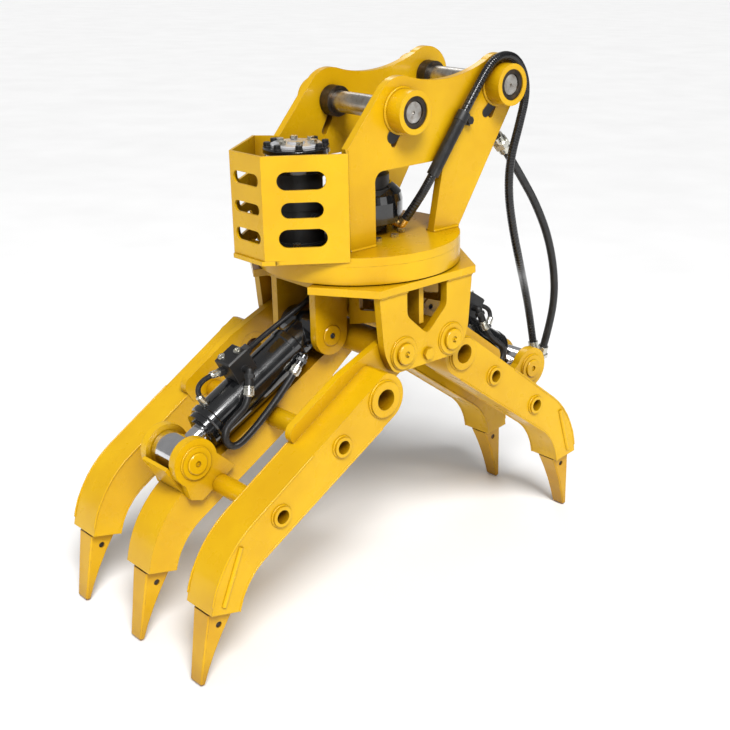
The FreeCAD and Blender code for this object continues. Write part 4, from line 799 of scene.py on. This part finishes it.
for pin, at in (("stick", STICK_PIN), ("link", LINK_PIN)):
    for side, word in SIDES:
        hoop = circle(place(*at), BOSS_R + 1, side * (PLATE_OUT + 1) / 1000)
        bead(f"bead_{pin}_boss_{word}", hoop, 0.0042, "upper_bracket", closed=True)

for side, word in SIDES:
    for label, y in (("out", side * PLATE_OUT), ("in", side * PLATE_IN)):
        for foot, x0, x1 in FEET:
            line = [place(x0, y, 1), place(x1, y, 1)]
            bead(f"bead_foot_{foot}_{label}_{word}", line, 0.0045, "upper_bracket")
    guard = [place(GUARD_X, side * PLATE_OUT, 6), place(GUARD_X, side * PLATE_OUT, 226)]
    bead(f"bead_guard_{word}", guard, 0.0035, "upper_bracket")
print(how_many("bead"), "beads on the bracket")

# %% [markdown]
# The turntable's beads follow the frame plates under the round band, the collars of the jaw pivots
# and the roots of the cylinder ears.

# %% Beads of the turntable
EAR_OUT = 80
EAR_HALF = 46

for side, word in SIDES:
    for label, y in (("out", side * FRAME_OUT), ("in", side * FRAME_IN)):
        for hand, end in HANDS:
            line = [place(hand * 63, y, PLATE_UNDER - 1), place(hand * 144, y, PLATE_UNDER - 1)]
            bead(f"bead_frame_{label}_{word}_{end}", line, 0.0045, "turntable")
    for hand, end in HANDS:
        centre = place(hand * JAW_PIVOT[0], 0, JAW_PIVOT[1])
        hoop = circle(centre, COLLAR_R, side * (FRAME_OUT + 0.5) / 1000)
        bead(f"bead_collar_{word}_{end}", hoop, 0.003, "turntable", closed=True)
        line = [place(hand * (EAR_PIN[0] + reach), side * EAR_OUT, PLATE_UNDER - 1)
                for reach in (-EAR_HALF, EAR_HALF)]
        bead(f"bead_ear_{word}_{end}", line, 0.004, "turntable")
print(how_many("bead"), "beads so far")

# %% [markdown]
# A tine is a box of four plates. Its beads run along the corners where the side plates meet the top
# and the belly, round the sleeves of the cross holes, and round the rod ears. The corners are straight
# at first and then follow the arcs of the nose and of the throat.

# %% Beads of the jaws
TINE_HALF = 45.7
LEFT_TINE_Y = 239.0
RIGHT_TINE_Y = 128.4
ROD_EAR_FACE = 68.2
TOP_START = (210.0, 45.0)
NOSE = (405.0, -205.0, 250.0)
THROAT = (430.0, -206.0, 160.0)
SLEEVES = ((0.0, 41.0), (145.0, 23.0), (347.0, 23.0))
ROD_PINS = ((-1, "left", 363.0, 92.0), (1, "right", 398.0, 101.0))
SUNK = 0.6


def bend(s, t, radius):
    """The arc round (s, t) at the end of a corner line."""
    return [(s + radius * math.sin(math.radians(a)), t + radius * math.cos(math.radians(a)))
            for a in range(5, 46, 5)]


CORNER_LINES = (("top", [TOP_START, (405.0, 45.0)] + bend(*NOSE)),
                ("belly", [(40.0, -57.0), (430.0, -46.0)] + bend(*THROAT)))


def tine_beads(hand, word, body, y_middle, outward):
    for label, outline in CORNER_LINES:
        for face in (-1, 1):
            y = y_middle + face * (TINE_HALF - SUNK)
            line = [on_jaw(hand, s, t - math.copysign(SUNK, t), y) for s, t in outline]
            bead(f"bead_{word}_{label}_{'in' if face * outward < 0 else 'out'}", line, 0.0026, body)
    for number, (s, radius) in enumerate(SLEEVES):
        hoop = circle(on_jaw(hand, s, 0, 0), radius + 0.5, (y_middle + outward * (TINE_HALF + 0.5)) / 1000)
        bead(f"bead_{word}_sleeve_{number}", hoop, 0.0032, body, closed=True)


for hand, word, y in ((-1, "left", LEFT_TINE_Y), (1, "right", RIGHT_TINE_Y)):
    for side, face in SIDES:
        tine_beads(hand, f"{face}_{word}", word + "_jaw", side * y, side)
for hand, word, s, t in ROD_PINS:
    for side, face in SIDES:
        hoop = circle(on_jaw(hand, s, t, 0), COLLAR_R, side * ROD_EAR_FACE / 1000)
        bead(f"bead_{word}_ear_collar_{face}", hoop, 0.003, word + "_jaw", closed=True)
print(how_many("bead"), "beads in all")

# %% [markdown]
# ## Turned details
# Small round fittings come off a lathe: grease nipples on the pivot pins and plugs on the valve
# blocks. A lathe cuts a profile while the bar spins, and so does one function here, which is quicker
# than stacking cylinders and gives true chamfers and grooves.

# %% Turned parts
SOFT_EDGE = 0.0004


def turned_part(name, profile, centre, axis, material, body, sides=24, hollow=False):
    """Spins (distance along the axis, radius) pairs, in millimetres, round an axis in the model."""
    axis = Vector(axis).normalized()
    side = axis.orthogonal().normalized()
    up = axis.cross(side)
    form = bmesh.new()
    rings = [ring_at(form, centre + axis * (along / 1000), radius / 1000, side, up, sides)
             for along, radius in profile]
    skin(form, rings, hollow)
    bmesh.ops.recalc_face_normals(form, faces=form.faces)
    piece = form_piece(name, form, material, body)
    bevel = piece.modifiers.new("soft edges", "BEVEL")
    bevel.width = SOFT_EDGE
    bevel.segments = 2
    return piece


print("turned parts have soft edges of", SOFT_EDGE * 1000, "mm")

# %% [markdown]
# Every pivot is greased through a nipple in the dished end of its pin. Each valve block has two hollow
# plugs that close its drilled passages.

# %% Nipples and plugs
NIPPLE = [(0, 5.5), (3, 5.5), (3, 3.4), (6, 2.8), (7, 3.4), (9, 2.9), (10, 1.6)]
PLUG = [(0, 9), (5, 9), (5, 5), (3.5, 4.6)]
PLUGS_AT = ((192, -10), (222, 14))
BLOCK_TOP = 100
PIN_DISH = 243.5
EAR_PIN_DISH = 79

for side, face in SIDES:
    for hand, word in HANDS:
        pivot = place(hand * JAW_PIVOT[0], side * PIN_DISH, JAW_PIVOT[1])
        turned_part(f"nipple_{face}_{word}", NIPPLE, pivot, (0, side, 0), yellow, "turntable")
        ear = place(hand * EAR_PIN[0], side * EAR_PIN_DISH, EAR_PIN[1])
        turned_part(f"nipple_ear_{face}_{word}", NIPPLE, ear, (0, side, 0), black_cast, "turntable")
for hand, word in HANDS:
    for number, (u, y) in enumerate(PLUGS_AT):
        centre = on_cylinder(hand, u, y, BLOCK_TOP)
        upward = on_cylinder(hand, u, y, BLOCK_TOP + 1) - centre
        turned_part(f"plug_{word}_{number}", PLUG, centre, upward, zinc, word + "_barrel")
print(how_many("nipple"), "nipples and", how_many("plug"), "plugs")

# %% [markdown]
# ## Motor head and swivel bell
# The motor's head is a wide black casting ringed by tall hexagonal screws, and its glossy top is
# painted light grey as a painted reflection. A bell-shaped housing stands round the foot of the oil
# swivel. All of it is turned work, and six sides instead of many make the screws.

# %% Motor head and swivel bell
MOTOR_X = -177.0
HEAD_FOOT = 173
HEAD_FACE = 228
SCREW_RING_R = 65
SCREWS = 8
FIRST_SCREW = 12
SWIVEL_FOOT = (21, 0, 27)
UP = (0, 0, 1)
HEAD = [(0, 66), (2, 72), (32, 74), (35, 70), (39, 70), (42, 75), (52, 75), (55, 72), (55, 10)]
TOP = [(0, 58), (5, 58), (6.5, 56), (6.5, 20), (10, 18), (10, 4)]
WASHER = [(0, 9.5), (2, 9.5)]
SCREW = [(2, 8.6), (10, 8.6), (11, 7.4)]
BELL = [(0, 84), (3, 89), (50, 90), (68, 86), (82, 73), (90, 64), (90, 60), (0, 60)]


def bracket_part(name, profile, at, material, sides, hollow=False):
    """A turned part that stands upright on the bracket."""
    return turned_part(name, profile, at, UP, material, "upper_bracket", sides, hollow)


head = bracket_part("motor_head", HEAD, place(MOTOR_X, 0, HEAD_FOOT), black_paint, 64)
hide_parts("motor_cover")
# The top's light grey is a painted reflection.
bracket_part("motor_top", TOP, place(MOTOR_X, 0, HEAD_FACE), motor_top_reflection, 64)
for number in range(SCREWS):
    angle = math.radians(number * 360 / SCREWS + FIRST_SCREW)
    at = place(MOTOR_X + SCREW_RING_R * math.cos(angle), SCREW_RING_R * math.sin(angle), HEAD_FACE)
    bracket_part(f"head_washer_{number}", WASHER, at, black_cast, 20)
    bracket_part(f"head_screw_{number}", SCREW, at, black_cast, 6)
bracket_part("swivel_bell", BELL, place(*SWIVEL_FOOT), black_paint, 64, hollow=True)
print("motor head with", how_many("head_screw"), "screws")

# %% [markdown]
# ## Barrel jackets
# Each barrel carries a gloss-black jacket with a rolled rim at both ends, which gives the cylinder the
# stout look that it has in the photograph. The jacket is hollow, so that it sits round the measured
# barrel without filling it. The right one is longer, as its rod is drawn in further.

# %% Barrel jackets
JACKET = [(62, 44), (64, 50), (68, 52), (82, 52), (86, 50), (326, 50), (329, 52), (341, 52), (345, 49),
          (346, 44), (346, 42.5), (62, 42.5)]
JACKET_WAIST = 300
RIGHT_LONGER = 34

for hand, word in HANDS:
    base = on_cylinder(hand, 0, 0, 0)
    longer = RIGHT_LONGER if hand > 0 else 0
    profile = [(u + longer if u > JACKET_WAIST else u, radius) for u, radius in JACKET]
    turned_part(f"{word}_jacket", profile, base, on_cylinder(hand, 1, 0, 0) - base, black_paint,
                word + "_barrel", 72, hollow=True)
print("two barrel jackets, the right one", RIGHT_LONGER, "mm longer")

# %% [markdown]
# ## Sleeve and ferrules
# The first hose wears a thick sleeve below its clamp, so it doesn't chafe on the plate. The sleeve
# follows the same points as the hose, so it is drawn as a short curve and turned into a mesh. Every
# hose on the cylinders ends in a bright crimped ferrule, whose profile is written in hose radii, so
# that one list fits both sizes of hose.

# %% Sleeve and ferrules
SLEEVE_D = 0.029
FERRULE = [(0, 1), (0, 1.25), (4, 1.25), (5, 1.45), (20, 1.45), (22, 1.2), (24, 1.1)]


def hose_mesh(name, points, diameter):
    """A hose as a mesh, made from a guide curve that is thrown away afterwards."""
    guide = hose_curve(name + "_guide", points, diameter, plain_rubber)
    bpy.context.view_layer.update()
    piece = new_object(name, bpy.data.meshes.new_from_object(guide))
    bpy.data.objects.remove(guide)
    return piece


below, turn_up, clamp_run, over = (Vector(point) for point in HOSE_A[1:5])
middle = turn_up.lerp(clamp_run, 0.5)
sleeve_start = below.lerp(turn_up, 0.5) * 0.25 + turn_up * 0.5 + middle * 0.25
sleeve_points = [sleeve_start, turn_up.lerp(middle, 0.5), clamp_run, clamp_run.lerp(over, 0.40)]
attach(hose_mesh("hose_sleeve", sleeve_points, SLEEVE_D), "upper_bracket")

for hand, word in HANDS:
    for kind, route, diameter in CYLINDER_HOSES:
        profile = [(along, times * diameter / 2 * 1000) for along, times in FERRULE]
        for tail, ends in (("start", route[:2]), ("end", route[:-3:-1])):
            first, second = (on_cylinder(hand, *point) for point in ends)
            turned_part(f"ferrule_{word}_{kind}_{tail}", profile, first, second - first, zinc,
                        word + "_barrel", 20)
print("sleeve and", how_many("ferrule"), "ferrules")

# %% [markdown]
# ## Feed hoses
# Oil reaches each valve block through a hose from the turntable. The hose is drawn as a curve and
# turned into a mesh.

# %% Feed hoses
FEED_D = 0.013
FEED_Y = 18
FEED_START = ((96, 13.5, 20), (118, 14.4, 44))
FEED_END = ((62, 58), (110, 62), (150, 64), (177, 62))

for hand, word in HANDS:
    start = [place(hand * x, y, PLATE_UNDER - drop) for x, y, drop in FEED_START]
    end = [on_cylinder(hand, u, FEED_Y, v) for u, v in FEED_END]
    feed = hose_mesh(word + "_feed_hose", start + end, FEED_D)
    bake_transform(feed)
print(how_many("left_feed", "right_feed"), "feed hoses laid")

# %% [markdown]
# ## Floor
# The grapple stands on its five tips, so the floor is the plane under them. The left tips are
# higher than the right ones when the slew axis is drawn upright, so the floor leans by that much.
# Turning the grapple instead would take it out of the frame that all its tools share.

# %% Floor
FLOOR_GAP = 0.0012
FLOOR_HALF = 60.0


def lowest(node):
    """The lowest corner of a measured node, in metres."""
    piece = NODES[node]
    return min((piece.matrix_world @ v.co for v in piece.data.vertices), key=lambda p: p.z)


left_tip = lowest("left_teeth")
right_tip = lowest("right_teeth")
lean = math.atan2(right_tip.z - left_tip.z, right_tip.x - left_tip.x)
floor_middle = (left_tip + right_tip) / 2 - Vector((0, 0, FLOOR_GAP))
floor_turn = Matrix.Rotation(-lean, 3, "Y")
floor_mesh = bpy.data.meshes.new("floor")
floor_mesh.from_pydata([floor_middle + floor_turn @ Vector((x * FLOOR_HALF, y * FLOOR_HALF, 0))
                        for x, y in ((-1, -1), (1, -1), (1, 1), (-1, 1))], [], [(0, 1, 2, 3)])
pale, tree, shader = new_material("pale floor")
tone = ramp(tree, noise(tree, 2.0, 2.0), [(0.3, grey(0.90)), (0.7, grey(0.94))])
tree.links.new(tone, shader.inputs["Base Color"])
shader.inputs["Roughness"].default_value = 0.7
floor_mesh.materials.append(pale)
new_object("floor", floor_mesh)
print("floor leans by", round(math.degrees(lean), 2), "degrees")

# %% [markdown]
# ## Light
# The photograph has soft, even light from high on the left, and a white sweep behind. A wide sun lamp
# gives the even floor and its soft shadows, and four softboxes add the highlights: a key from the
# left, a fill from the front, a narrow strip for long reflections on curved steel, and a rim from
# behind. The world is white towards the left and dims towards the right, so the faces that look that
# way fall into shade, as they do in the picture.

# %% World
DIM_WAY = (0.72, -0.62, -0.30)
WORLD_STRENGTH = 0.30

world = bpy.data.worlds.new("sweep")
world.use_nodes = True
bpy.context.scene.world = world
tree = world.node_tree
background = tree.nodes["Background"]
coords = add(tree, "ShaderNodeTexCoord")
dimming = add(tree, "ShaderNodeVectorMath", operation="DOT_PRODUCT")
tree.links.new(coords.outputs["Generated"], dimming.inputs[0])
dimming.inputs[1].default_value = DIM_WAY
shade = ramp(tree, dimming.outputs["Value"], [(0.0, grey(1.0)), (0.6, grey(0.12))])
tree.links.new(shade, background.inputs["Color"])
background.inputs["Strength"].default_value = WORLD_STRENGTH
print("world dims towards", DIM_WAY)

# %% [markdown]
# A lamp shines down its own minus Z, so it is turned until that axis points where the light goes. The
# sun's angle and a softbox's size set how soft the shadows are, and both are large here.

# %% Lamps
def lamp(name, kind, energy, direction):
    """A lamp that shines in a direction. Returns its object."""
    data = bpy.data.lights.new(name, kind)
    data.energy = energy
    piece = new_object(name, data)
    piece.rotation_euler = Vector(direction).to_track_quat("-Z", "Y").to_euler()
    return piece


def softbox(name, at, aim, size, power):
    piece = lamp(name, "AREA", power, Vector(aim) - Vector(at))
    piece.location = at
    piece.data.shape = "RECTANGLE"
    piece.data.size, piece.data.size_y = size


lamp("sky panel", "SUN", 3.6, (0.36, 0.74, -0.92)).data.angle = math.radians(22)
softbox("key", (-2.2, -1.7, 2.6), (0, 0, -0.4), (1.0, 1.8), 10)
softbox("front fill", (0.9, -3.4, 0.6), (0, 0, -0.5), (1.6, 1.0), 8)
softbox("strip", (-1.9, -2.5, 1.5), (-0.35, -0.1, -0.6), (0.10, 2.6), 16)
softbox("back rim", (1.8, 2.4, 2.2), (0, 0, -0.3), (1.0, 1.0), 12)
bpy.context.scene.view_settings.view_transform = "Standard"
print(len(bpy.data.lights), "lamps")

# %% [markdown]
# ## Finishing
# The scene is brought up to date.

# %% Finish
bpy.context.view_layer.update()
